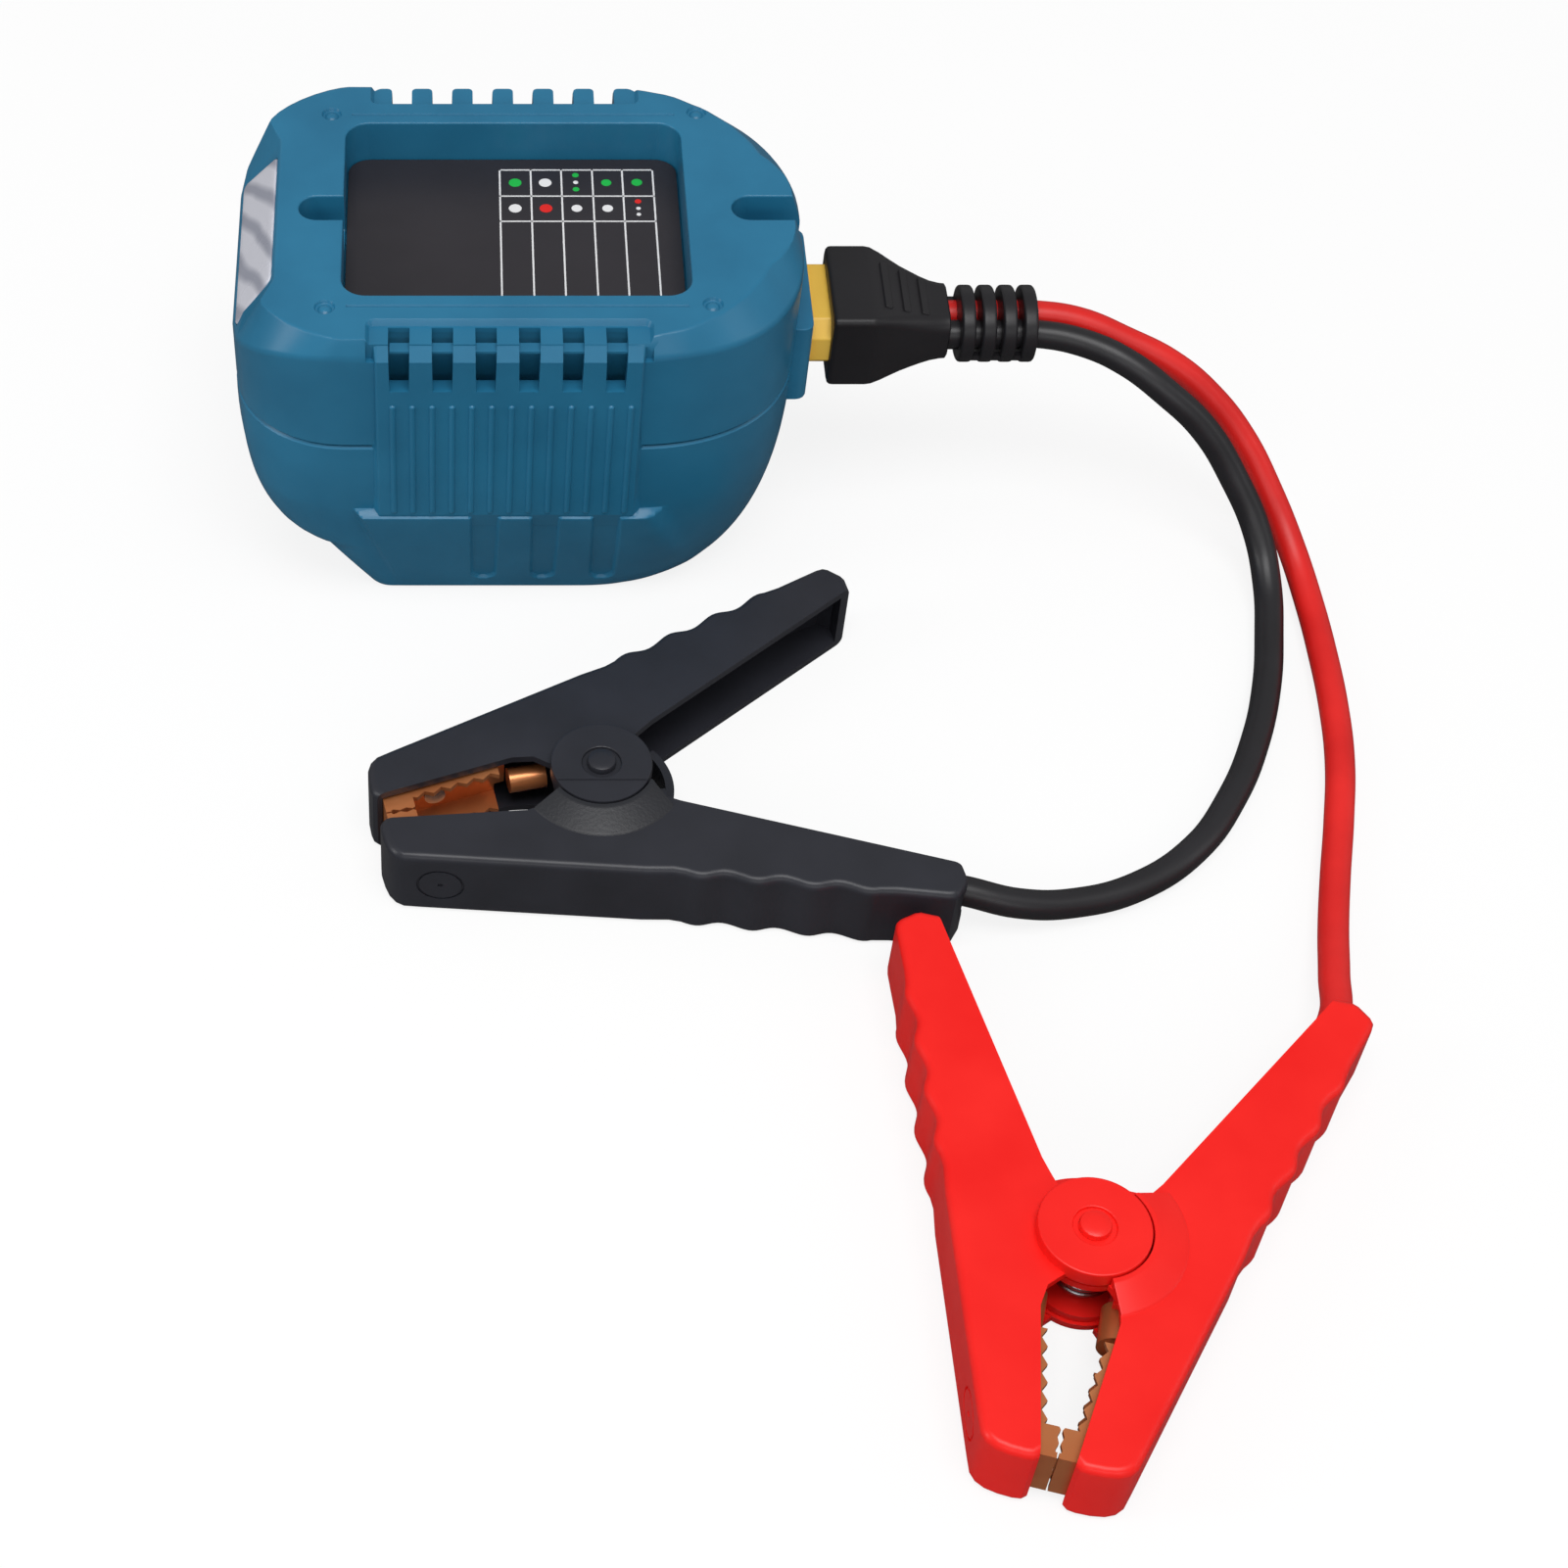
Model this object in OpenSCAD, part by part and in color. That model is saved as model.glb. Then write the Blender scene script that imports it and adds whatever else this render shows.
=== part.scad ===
// Battery-powered jump starter adapter: a two-shell plastic housing that slides onto a tool
// battery, a two-pole plug with a red and a black lead, and two spring clamps.
// Millimetres. Origin: centre of the housing's base, on the surface it stands on.
// +X points to the output socket, +Y to the rear vents, +Z up.

/* [Housing] */
// Length of the housing, left end to right end
body_l = 109; // [100:1:120]
// Width of the housing, front wall to rear wall
body_w = 77; // [72:1:80]
// Height of the housing
body_h = 71; // [66:1:76]
// Height of the seam between the two shells
seam_z = 44.5; // [42:0.5:47]
// Wall thickness of the shells
wall = 2.4; // [2:0.1:3]
// Radius of the rounded right end in plan
end_r = 33; // [28:1:36]
// Width of the cut corners at the left end
corner_cut = 21; // [15:1:25]
// Height of the bevel round the top edge
bevel_h = 3.8; // [3:0.2:6]
// Height of the lamp's slope at the left end
end_bevel_h = 12; // [9:1:14]
// Depth of the label recess
recess_depth = 9.5; // [7:0.5:11]
// Length of the label recess
recess_l = 65; // [55:1:68]
// Width of the label recess
recess_w = 50; // [42:1:52]
// Thickness of the label plate
label_t = 0.8; // [0.6:0.1:1.2]
// Width of the two strap slots in the top
slot_w = 6.8; // [5:0.2:8]

/* [Vents and panels] */
// Number of vent slots on each long side
vent_count = 6; // [4:1:6]
// Width of one vent slot
vent_w = 3.8; // [3:0.1:4.5]
// Spacing of the vent slots
vent_pitch = 8; // [7:0.1:8.2]
// Height of the vent slots
vent_h = 13; // [11:1:15]
// Width of the raised panel that carries the vents
panel_w = 49.5; // [48:0.5:54]
// How far the panel stands out from the wall
panel_out = 0.8; // [0.6:0.1:1.2]
// Number of grip ribs on the panel
rib_count = 13; // [9:1:13]
// Spacing of the grip ribs
rib_pitch = 3.7; // [3:0.1:3.8]

/* [Battery bay] */
// Width of the bay that takes the tool battery
bay_w = 56; // [50:1:58]
// Height of the bay
bay_h = 20; // [16:1:21]
// How far each slide rail reaches into the bay
rail_in = 3.5; // [2:0.5:5]
// Thickness of the slide rails
rail_t = 3; // [2:0.5:4]
// Number of battery contact blades
blade_count = 5; // [3:1:6]

/* [Output plug] */
// Width of the polarised plug body
plug_w = 20.8; // [18:0.2:22]
// Height of the polarised plug body
plug_h = 10.8; // [9:0.2:12]
// Distance between the two contacts
pole_pitch = 10.9; // [9:0.1:12]
// Diameter of the contact pins
pin_d = 4.5; // [3.5:0.1:5]
// How deep the plug sits in its socket
plug_depth = 9; // [7:0.5:10]
// Width of the moulded plug cover
cover_w = 22.6; // [22:0.2:26]
// Height of the moulded plug cover
cover_h = 17; // [15:0.2:18]

/* [Leads] */
// Outer diameter of the silicone leads
lead_d = 5.6; // [5:0.1:5.8]

/* [Clamps] */
// Height of the clamp arms
arm_h = 15.6; // [14:0.2:18]
// Wall thickness of the clamp arms
arm_wall = 1.9; // [1.6:0.1:2.2]
// Half the angle between the two grips
grip_angle = 32; // [28:1:36]
// Radius of the pivot disc
disc_r = 9.4; // [8.6:0.1:9.8]
// How far the pivot disc stands above the arms
disc_up = 2.4; // [1.5:0.1:3]
// Outer radius of the sloped collar round the disc
collar_r = 15.6; // [13:0.2:17]
// Diameter of the pivot pin
pivot_d = 4; // [3:0.1:4.4]
// Thickness of the copper jaw plates
jaw_t = 1; // [0.8:0.1:1.2]
// Spring wire diameter
wire_d = 1.2; // [1:0.1:1.3]
// Mean radius of the spring coil
coil_r = 5; // [4.5:0.1:6]

/* [Hidden] */

teal = [0.13, 0.42, 0.56];
ink = [0.15, 0.15, 0.17];
yellow = [0.95, 0.76, 0.25];
red = [0.9, 0.1, 0.08];
copper = [0.8, 0.45, 0.28];
steel = [0.78, 0.78, 0.8];
board_green = [0.1, 0.35, 0.2];

half_l = body_l / 2;
half_w = body_w / 2;
gap = 0.3;            // general clearance between loose pieces
fit = 0.05;           // radial clearance of a pin in its hole
base_taper = 5.9;     // how far the front and rear walls curve in at the base
draft = 0.6;          // how far the upper walls lean in at the seam
base_cut = 3;         // width of the cut corners at the base
radius_drop = 6;      // how much smaller the right corners' radius is at the base
foot_x = -28.5;       // left edge of the base
shoulder_x = -40.3;   // left edge where the foot meets the curved flank
shoulder_z = 14.5;
base_right = 32;      // right edge of the base
top_left_in = 8.5;    // how far the lamp window leans in at the left end
top_inset = 1.3;      // how far the bevel leans in elsewhere
label_c = [-1, 0.3];  // centre of the label recess
recess_r = 3.5;
left_slot_x = 12.5 - half_l;   // rounded ends of the two strap slots
right_slot_x = half_l - 14.1;
slot_y = 0;           // middle of the strap slots
recess_z = body_h - recess_depth;
dimple_x = recess_l / 2 + 4;
dimple_y = recess_w / 2 + 3;
panel_c = -2.4;       // X of the middle of the vent panels
panel_z = 23.6;       // lower edge of the vent panels
panel_step = 1.2;     // how far the top steps down to the panels
step_y = 31.5;        // where that step lies
vent_deep = 4;
flute_x = 5.3;        // X of the middle flute
flute_pitch = 11.8;
flute_w = 4.7;
flute_in = 0.9;       // depth of the flutes
flute_levels = [4.6, 9, 13.5, 18, 23];
louvre_z = body_h - 4.5;
louvre_t = 1;
rib_w = 1.1;
rib_out = 0.5;
rib_back = 1;
rib_top = body_h - 14.7;
bay_right = 24;
roof = bay_h + wall;
rail_z = 3;
post_x = 27;
post_y = 19;
post_r = 3.6;
screw_r = 1.5;
head_r = 2.7;
screw_seat = seam_z - 5;
screw_grip = 9;
board_z = roof + 4.6;
board_t = 1.6;
board_c = [-6, 0];
board_l = 62;
board_w = 50;
conn_z = seam_z;      // height of the connector axis
boss_x = half_l + 2.2; // outer face of the socket boss
boss_w = 30;
boss_h = 18;
socket_wall = 1.2;
socket_back = boss_x - 14;
cover_x = boss_x + 4.1;
cover_l = 23.9;
neck_w = 14;
neck_h = 12;
neck_z = conn_z - 2.8;  // the sleeve sits lower than the plug
relief_x = cover_x + cover_l;
relief_l = 17.3;
ring_count = 4;
ring_t = 2.8;
lead_r = lead_d / 2;
lead_y = 2.9;         // half the spacing of the two leads at the plug

// ---------- housing outline ----------

// Share of a quarter ellipse at height z between the base and the seam.
function bulge(z) = sqrt(max(0, 1 - pow((seam_z - z) / seam_z, 2)));
function flank(z) = sqrt(max(0, 1 - pow((seam_z - z) / (seam_z - shoulder_z), 2)));
function left_x(z) =
    z >= seam_z ? -half_l :
    z >= shoulder_z ? shoulder_x - (half_l + shoulder_x) * flank(z) :
    foot_x + (shoulder_x - foot_x) * z / shoulder_z;
function right_x(z) = z >= seam_z ? half_l - draft : base_right + (half_l - draft - base_right) * bulge(z);
function half_y(z) = half_w - draft - base_taper * pow(max(0, seam_z - z) / seam_z, 2.2);
function cut_at(z) = z >= seam_z ? corner_cut : base_cut + (corner_cut - base_cut) * z / seam_z;
function radius_at(z) = z >= seam_z ? end_r : end_r - radius_drop * (1 - bulge(z));

// One horizontal outline: cut corners on the left, arcs on the right. The arcs may be drawn in.
arc_steps = 8;
function outline(xl, xr, hw, cut, r, in = [[0, 0], [90, 0]]) = let (
    arc = [for (i = [0:arc_steps]) let (a = 90 * i / arc_steps, q = r - lookup(a, in))
        [xr - r + q * cos(a), hw - r + q * sin(a)]])
    concat(
        [[xl, -hw + cut], [xl + cut * 0.3, -hw + cut * 0.36], [xl + cut, -hw]],
        [for (i = [arc_steps:-1:0]) [arc[i].x, -arc[i].y]],
        arc,
        [[xl + cut, hw], [xl + cut * 0.3, hw - cut * 0.36], [xl, hw - cut]]
    );
function ring_at(z, t) = [
    for (p = outline(left_x(z) + t, right_x(z) - t, half_y(z) - t, cut_at(z), radius_at(z) - t))
    [p.x, p.y, z]
];
// The bevel's lower edge drops towards both ends.
right_bevel_h = 6;
function share(x, x0) = max(0, min(1, (x - x0) / (half_l - x0)));
function bevel_drop(x) = bevel_h + (end_bevel_h - bevel_h) * pow(share(-x, 33), 3)
    + (right_bevel_h - bevel_h) * share(x, 30);
function bevel_ring(t) = [
    for (p = outline(-half_l + t, half_l - t, half_w - t, corner_cut, end_r - t))
    [p.x, p.y, body_h - t - bevel_drop(p.x)]
];
// The bevel is wider round the right corners.
corner_in = [[0, 0.6], [12, 3.2], [45, 3], [68, 1.8], [90, 0]];
function top_ring(t) = [
    for (p = outline(-half_l + top_left_in + t, half_l - top_inset - t, half_w - top_inset - t,
                     corner_cut - 5, end_r - top_inset - t, corner_in))
    [p.x, p.y, body_h - t]
];

// Solid through a stack of rings that all have the same number of points.
module loft(rings) {
    n = len(rings[0]);
    m = len(rings);
    pts = [for (r = rings) for (p = r) p];
    sides = [for (j = [0:m - 2]) for (i = [0:n - 1])
        for (f = [[j * n + i, (j + 1) * n + i, (j + 1) * n + (i + 1) % n],
                  [j * n + i, (j + 1) * n + (i + 1) % n, j * n + (i + 1) % n]]) f];
    polyhedron(points = pts, convexity = 6,
        faces = concat([[for (i = [0:n - 1]) i]], sides, [[for (i = [n - 1:-1:0]) (m - 1) * n + i]]));
}

lower_levels = [0, 7, shoulder_z, 18, 23, 29, 36, seam_z];
module lower_outer() loft([for (z = lower_levels) ring_at(z, 0)]);
module lower_inner() loft([for (z = [wall, 8, shoulder_z, 22, 30, seam_z + 1]) ring_at(z, wall)]);
module upper_outer() loft([ring_at(seam_z, 0), bevel_ring(0), top_ring(0)]);
module upper_inner() loft([ring_at(seam_z, wall), bevel_ring(wall), top_ring(wall)]);

module slab(lo, hi) translate(lo) cube(hi - lo);
module rounded_slab(c, size, r, z0, z1) translate([0, 0, z0]) linear_extrude(z1 - z0)
    polygon([for (q = [0:3]) for (i = [0:4]) let (
        sx = (q == 0 || q == 3) ? 1 : -1, sy = q < 2 ? 1 : -1, a = 90 * q + 22.5 * i)
        [c.x + sx * (size.x / 2 - r) + r * cos(a), c.y + sy * (size.y / 2 - r) + r * sin(a)]]);
module across(x, y, z, l) translate([x, y, z]) rotate([0, 90, 0]) linear_extrude(l) children();

// Boss round the output socket, cut to one shell's height range.
module socket_boss(z0, z1) difference() {
    slab([half_l - 12, -boss_w / 2, max(z0, conn_z - boss_h / 2)],
         [boss_x, boss_w / 2, min(z1, conn_z + boss_h / 2)]);
    socket_body(gap / 3, socket_back - 2);
}
module socket_body(c, back) slab(
    [back, -plug_w / 2 - socket_wall - gap - c, conn_z - plug_h / 2 - socket_wall - gap - c],
    [boss_x + 1, plug_w / 2 + socket_wall + gap + c, conn_z + plug_h / 2 + socket_wall + gap + c]);

// Vent panel on one long side; side is -1 for the front and 1 for the rear.
panel_top = body_h - panel_step;
panel_lean = 1.5;     // how far its bevels lean in at the top and at the foot
panel_foot = 3.7;       // height of the bevel at the foot
module panel(side, z0, z1) {
    y0 = side * (half_w + panel_out);
    y1 = side * (half_w - draft - wall);
    intersection() {
        translate([panel_c - panel_w / 2, 0, 0]) rotate([90, 0, 90]) linear_extrude(panel_w)
            polygon([[y1, panel_z], [y0 - side * panel_lean, panel_z],
                     [y0 - side * draft, panel_z + panel_foot], [y0, panel_top - bevel_h],
                     [y0 - side * panel_lean, panel_top], [y1, panel_top]]);
        slab([-half_l, -body_w, z0], [half_l, body_w, z1]);
    }
}
module top_step(side) translate([panel_c - panel_w / 2, 0, 0]) rotate([90, 0, 90])
    linear_extrude(panel_w) polygon([
        [side * step_y, body_h + 1], [side * step_y, body_h], [side * (step_y + 0.7), panel_top],
        [side * body_w, panel_top], [side * body_w, body_h + 1]]);
module ribs(side, z0, z1) for (i = [0:rib_count - 1])
    translate([panel_c + (i - (rib_count - 1) / 2) * rib_pitch, side * (half_w + panel_out), 0])
        slab([-rib_w / 2, min(side * rib_out, -side * rib_back), max(z0, panel_z + panel_foot + 0.5)],
             [rib_w / 2, max(side * rib_out, -side * rib_back), min(z1, rib_top)]);
module vents(side) for (i = [0:vent_count - 1])
    translate([panel_c + (i - (vent_count - 1) / 2) * vent_pitch, side * half_w, 0])
        slab([-vent_w / 2, -vent_deep, body_h - vent_h], [vent_w / 2, vent_deep, body_h + 1]);

module boss(x, y, z0, z1, r) translate([x, y, z0]) cylinder(h = z1 - z0, r = r, $fn = 32);
module at_posts() for (x = [-post_x, post_x]) for (y = [-post_y, post_y]) translate([x, y, 0]) children();

module top_housing() color(teal) difference() {
    union() {
        difference() {
            upper_outer();
            difference() {
                upper_inner();
                // Floor and walls of the label recess.
                rounded_slab(label_c, [recess_l + 2 * wall, recess_w + 2 * wall], recess_r + wall,
                             recess_z - wall, body_h);
                // Floors and walls of the two strap slots.
                for (x = [[left_slot_x - wall, label_c.x], [right_slot_x - wall, half_l]])
                    slab([x[0], slot_y - slot_w / 2 - wall, recess_z - wall],
                         [x[1], slot_y + slot_w / 2 + wall, body_h]);
                // Louvre behind the vents.
                slab([panel_c - panel_w / 2, -half_w, louvre_z],
                     [panel_c + panel_w / 2, half_w, louvre_z + louvre_t]);
                at_posts() boss(0, 0, seam_z, recess_z, post_r);
            }
        }
        for (side = [-1, 1]) {
            panel(side, seam_z, body_h);
            ribs(side, seam_z, body_h);
        }
        socket_boss(seam_z, body_h);
    }
    rounded_slab(label_c, [recess_l, recess_w], recess_r, recess_z, body_h + 1);
    for (x = [[left_slot_x + slot_w / 2, label_c.x], [right_slot_x + slot_w / 2, half_l + 1]]) {
        slab([x[0], slot_y - slot_w / 2, recess_z + 1], [x[1], slot_y + slot_w / 2, body_h + 1]);
        translate([x[0], slot_y, recess_z + 1]) cylinder(h = recess_depth, r = slot_w / 2, $fn = 32);
    }
    for (side = [-1, 1]) {
        vents(side);
        top_step(side);
    }
    socket_body(gap / 3, socket_back - 2);
    lamp_window(gap / 3);
    lamp_pocket();
    at_posts() boss(0, 0, seam_z - 1, seam_z + screw_grip, screw_r + fit);
    // Dimples near the corners of the recess.
    for (x = [-dimple_x, dimple_x]) for (y = [-dimple_y, dimple_y])
        translate([label_c.x + x, label_c.y + y, body_h - 0.6]) cylinder(h = 1, r = 1.7, $fn = 24);
}

module bottom_housing() color(teal) difference() {
    union() {
        difference() {
            lower_outer();
            difference() {
                lower_inner();
                slab([-half_l, -bay_w / 2 - wall, -1], [bay_right + wall, bay_w / 2 + wall, roof]);
                at_posts() boss(0, 0, bay_h, seam_z + 1, post_r);
                at_board_pegs() boss(0, 0, bay_h, board_z, 2.2);
            }
        }
        for (side = [-1, 1]) {
            panel(side, 0, seam_z);
            ribs(side, 0, seam_z);
        }
        socket_boss(0, seam_z);
        at_board_pegs() boss(0, 0, bay_h, board_z + board_t + 0.6, 1);
    }
    // The bay, open below and to the left, with a slide rail along each side.
    difference() {
        slab([-half_l - 1, -bay_w / 2, -1], [bay_right, bay_w / 2, bay_h]);
        for (side = [-1, 1])
            slab([-half_l, side * bay_w / 2 - rail_in, rail_z],
                 [bay_right - 4, side * bay_w / 2 + rail_in, rail_z + rail_t]);
    }
    // Shallow flutes under the front panel.
    for (i = [-1:1]) translate([flute_x + i * flute_pitch - flute_w / 2, 0, 0])
        rotate([90, 0, 90]) linear_extrude(flute_w) polygon(concat(
            [for (z = flute_levels) [flute_in - half_y(z), z]],
            [[-half_w - 1, max(flute_levels)], [-half_w - 1, min(flute_levels)]]));
    socket_body(gap / 3, socket_back - 2);
    at_posts() boss(0, 0, bay_h - 1, screw_seat, head_r + gap);
    at_posts() boss(0, 0, bay_h - 1, seam_z + 2, screw_r + 0.2);
    terminal_slot(gap / 2);
}

module at_board_pegs() for (x = [-1, 1]) for (y = [-1, 1])
    translate([board_c.x + x * (board_l / 2 - 12), board_c.y + y * (board_w / 2 - 14), 0]) children();

module label_plate() color(ink)
    rounded_slab(label_c, [recess_l - 2 * gap, recess_w - 2 * gap], recess_r - gap,
                 recess_z, recess_z + label_t);

// ---------- lamp ----------

// Plane of the lamp window: leans back from the left end to the top face.
lamp_a = atan2(end_bevel_h, top_left_in);
lamp_len = norm([end_bevel_h, top_left_in]);
lamp_w = 36;
lamp_in = 1.3;
lens_t = 1.8;
module on_lamp_plane() translate([-half_l, 0, body_h - end_bevel_h]) rotate([0, -lamp_a, 0]) children();
module lamp_window(c) on_lamp_plane()
    slab([lamp_in - c, -lamp_w / 2 - c, -lens_t - c], [lamp_len - lamp_in + c, lamp_w / 2 + c, 9]);
// Pocket behind the lens, with the lamp's board on its floor.
lamp_edge = 2.3;
lamp_half = 15.3;
led_t = 1.8;
pocket_t = 5.9;
lamp_board_t = 1.2;
module lamp_box(in, z0, z1) slab([lamp_edge + in, in - lamp_half, z0],
                                 [lamp_len - lamp_edge - gap - in, lamp_half - in, z1]);
module lamp_pocket() on_lamp_plane() lamp_box(0, -pocket_t, 1);
module leds(z, h, r) for (y = [-9, 0, 9]) translate([lamp_len / 2, y, z]) cylinder(h = h, r = r, $fn = 24);
module lamp_lens() color([0.85, 0.87, 0.9, 0.8]) on_lamp_plane()
    slab([lamp_in, -lamp_w / 2, -lens_t], [lamp_len - lamp_in, lamp_w / 2, 0.2]);
module lamp_reflector() color([0.9, 0.9, 0.9]) on_lamp_plane() difference() {
    lamp_box(gap, lamp_board_t - pocket_t, -lens_t);
    lamp_box(gap + 1, lamp_board_t - pocket_t + 0.9, 1);
    leds(-pocket_t, 5, 2.1);
}
module lamp_board() color(board_green) on_lamp_plane() {
    lamp_box(gap, -pocket_t, lamp_board_t - pocket_t);
    leds(lamp_board_t - pocket_t, led_t, 1.8);
}

// ---------- fasteners and electronics ----------

module housing_screws() color(steel) at_posts() difference() {
    union() {
        boss(0, 0, screw_seat - 2.2, screw_seat, head_r);
        boss(0, 0, screw_seat, seam_z + screw_grip - gap, screw_r);
    }
    for (a = [0, 90]) rotate(a) slab([-1.7, -0.3, screw_seat - 3], [1.7, 0.3, screw_seat - 1.2]);
}

module circuit_board() color(board_green) difference() {
    slab([board_c.x - board_l / 2, -board_w / 2, board_z],
         [board_c.x + board_l / 2, board_w / 2, board_z + board_t]);
    at_posts() boss(0, 0, board_z - 1, board_z + board_t + 1, post_r + gap);
    at_board_pegs() boss(0, 0, board_z - 1, board_z + board_t + 1, 1 + fit);
    terminal_slot(gap);
}

cap_r = 5;
cap_h = 17;
cap_pitch = 10.4;
cap_x = board_c.x - board_l / 2 + cap_r + 0.5;
part_z = board_z + board_t;
module capacitors() color([0.2, 0.2, 0.3]) for (i = [0:2]) translate([cap_x, cap_pitch * (i - 1), part_z]) {
    cylinder(h = cap_h - 1, r = cap_r, $fn = 40);
    translate([0, 0, cap_h - 1]) cylinder(h = 1, r = cap_r - 0.6, $fn = 40);
}

module power_inductor() color([0.75, 0.45, 0.2]) translate([-9, -10, part_z]) difference() {
    cylinder(h = 9, r = 9, $fn = 48);
    translate([0, 0, 1]) cylinder(h = 9, r = 3.5, $fn = 32);
}

sink_x = -6;
module heat_sink() color([0.7, 0.72, 0.74]) translate([sink_x, 4, part_z]) {
    slab([0, 0, 0], [16, 2.5, 18]);
    for (i = [0:3]) slab([i * 4.6, 2.5, 0], [i * 4.6 + 2, 9, 18]);
}
module power_transistors() color(ink) for (i = [0:1]) translate([sink_x + 0.5 + i * 8, 4, part_z])
    slab([0, -4, 1], [7, 0, 15]);

// Battery contact block: hangs from the bay roof, with blades that point to the left.
block_l = 9;
block_x = bay_right - block_l;
block_w = 38;
block_z = 6.5;
block_neck = [3, 6];          // X range of the neck that passes through the bay roof
neck_inset = 4;
blade_t = 1;
blade_pitch = 6.6;
blade_out = 9;                // how far the blades reach out of the block
blade_z = [8.5, 14];
blade_tail = [4, 5];
module terminal_slot(c) slab([block_x + block_neck[0] - c, -block_w / 2 + neck_inset - c, bay_h - 1],
                             [block_x + block_neck[1] + c, block_w / 2 - neck_inset + c, part_z + 20]);
module terminal_block() color(ink) difference() {
    union() {
        slab([block_x, -block_w / 2, block_z], [bay_right, block_w / 2, bay_h]);
        slab([block_x + block_neck[0], -block_w / 2 + neck_inset, bay_h],
             [block_x + block_neck[1], block_w / 2 - neck_inset, part_z + 1]);
    }
    blades(fit);
}
module terminal_blades() color(copper) blades(0);
module blades(c) for (i = [0:blade_count - 1])
    translate([block_x, (i - (blade_count - 1) / 2) * blade_pitch, 0]) {
        slab([-blade_out, -blade_t / 2 - c, blade_z[0] - c],
             [blade_tail[1], blade_t / 2 + c, blade_z[1] + c]);
        slab([blade_tail[0] - c, -blade_t / 2 - c, blade_z[0] - c],
             [blade_tail[1] + c, blade_t / 2 + c, part_z + 3]);
    }

// ---------- output connector ----------

// Polarised section: two corners cut on the side towards +Y.
module plug_profile(c) {
    w = plug_w / 2 + c;
    h = plug_h / 2 + c;
    polygon([[-h, -w], [h, -w], [h, w - 2], [h - 2, w], [2 - h, w], [-h, w - 2]]);
}
module output_socket() color(yellow) difference() {
    slab([socket_back, -plug_w / 2 - socket_wall - gap, conn_z - plug_h / 2 - socket_wall - gap],
         [boss_x, plug_w / 2 + socket_wall + gap, conn_z + plug_h / 2 + socket_wall + gap]);
    across(boss_x - plug_depth - 1, 0, conn_z, plug_depth + 5) plug_profile(gap);
    at_poles() translate([0, 0, -1]) cylinder(h = 99, r = pin_d / 2 + fit, $fn = 32);
}
module at_poles() for (y = [-pole_pitch / 2, pole_pitch / 2])
    translate([socket_back - 3, y, conn_z]) rotate([0, 90, 0]) children();
module socket_pins() color(copper) at_poles() cylinder(h = boss_x - socket_back + 1, r = pin_d / 2, $fn = 32);
module output_busbars() color(copper) for (s = [-1, 1]) {
    slab([22, s * pole_pitch / 2 - 1.6, part_z], [24, s * pole_pitch / 2 + 1.6, conn_z + 2]);
    slab([22, s * pole_pitch / 2 - 1.6, conn_z - 1], [socket_back - 3, s * pole_pitch / 2 + 1.6, conn_z + 1]);
}
plug_tip = boss_x - plug_depth;
shell_in = 8;         // how far the plug body reaches into the cover
contact_r = pin_d / 2 + 0.7;
cover_block = 12;     // straight part of the cover
lead_in = 4;          // how far each lead reaches into the cover
module plug_shell() color(yellow) difference() {
    across(plug_tip, 0, conn_z, cover_x + shell_in - plug_tip) plug_profile(0);
    at_plug_poles(plug_tip - 1) cylinder(h = 60, r = contact_r + fit, $fn = 32);
}
module at_plug_poles(x) for (y = [-pole_pitch / 2, pole_pitch / 2])
    translate([x, y, conn_z]) rotate([0, 90, 0]) children();
module plug_contacts() color(copper) at_plug_poles(plug_tip + 0.5) difference() {
    cylinder(h = cover_x + shell_in + 1.5 - plug_tip, r = contact_r, $fn = 32);
    translate([0, 0, -1]) cylinder(h = plug_depth + 2.5, r = pin_d / 2 + fit, $fn = 32);
}
module plug_cover() color(ink) difference() {
    union() {
        cover_section(cover_x, cover_x + cover_block);
        hull() {
            cover_section(cover_x + cover_block - 0.5, cover_x + cover_block);
            slab([relief_x - 1, -neck_w / 2, neck_z - neck_h / 2],
                 [relief_x, neck_w / 2, neck_z + neck_h / 2]);
        }
        // Three finger bars across the top.
        for (i = [0:2]) translate([cover_x + 10.8 + 3.7 * i, 0, conn_z])
            slab([0, -6 + 0.6 * i, 0], [1.3, 6 - 0.6 * i, cover_h / 2 + 0.4 - 1.3 * i]);
    }
    across(cover_x - 1, 0, conn_z, shell_in + 1.2) plug_profile(fit);
    at_plug_poles(cover_x) cylinder(h = shell_in + 2.3, r = contact_r + fit, $fn = 32);
    at_leads(relief_x - lead_in) cylinder(h = 20, r = lead_r + fit, $fn = 32);
}
module cover_section(x0, x1) slab([x0, -cover_w / 2, conn_z - cover_h / 2],
                                  [x1, cover_w / 2, conn_z + cover_h / 2]);
module at_leads(x) for (y = [-lead_y, lead_y]) translate([x, y, neck_z]) rotate([0, 90, 0]) children();
ring_pitch = (relief_l - ring_t) / (ring_count - 1);
spine_z = neck_h / 2 - 1.6;
module strain_relief() color(ink) difference() {
    union() {
        for (i = [0:ring_count - 1])
            across(relief_x + gap + i * (ring_pitch - gap / 3), 0, neck_z, ring_t) oval(neck_w + 1, neck_h + 1.4);
        for (s = [-spine_z, spine_z])
            slab([relief_x + gap, -1, neck_z + s - 1], [relief_x + relief_l - gap, 1, neck_z + s + 1]);
    }
    at_leads(relief_x - 2) cylinder(h = relief_l + 9, r = lead_r + fit, $fn = 32);
}
module oval(w, h) polygon([for (a = [0:15:345])
    [h / 2 * sin(a), w / 2 * cos(a) * (1 + 0.06 * pow(sin(2 * a), 2))]]);

// ---------- leads ----------

function unit(v) = v / norm(v);
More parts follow.
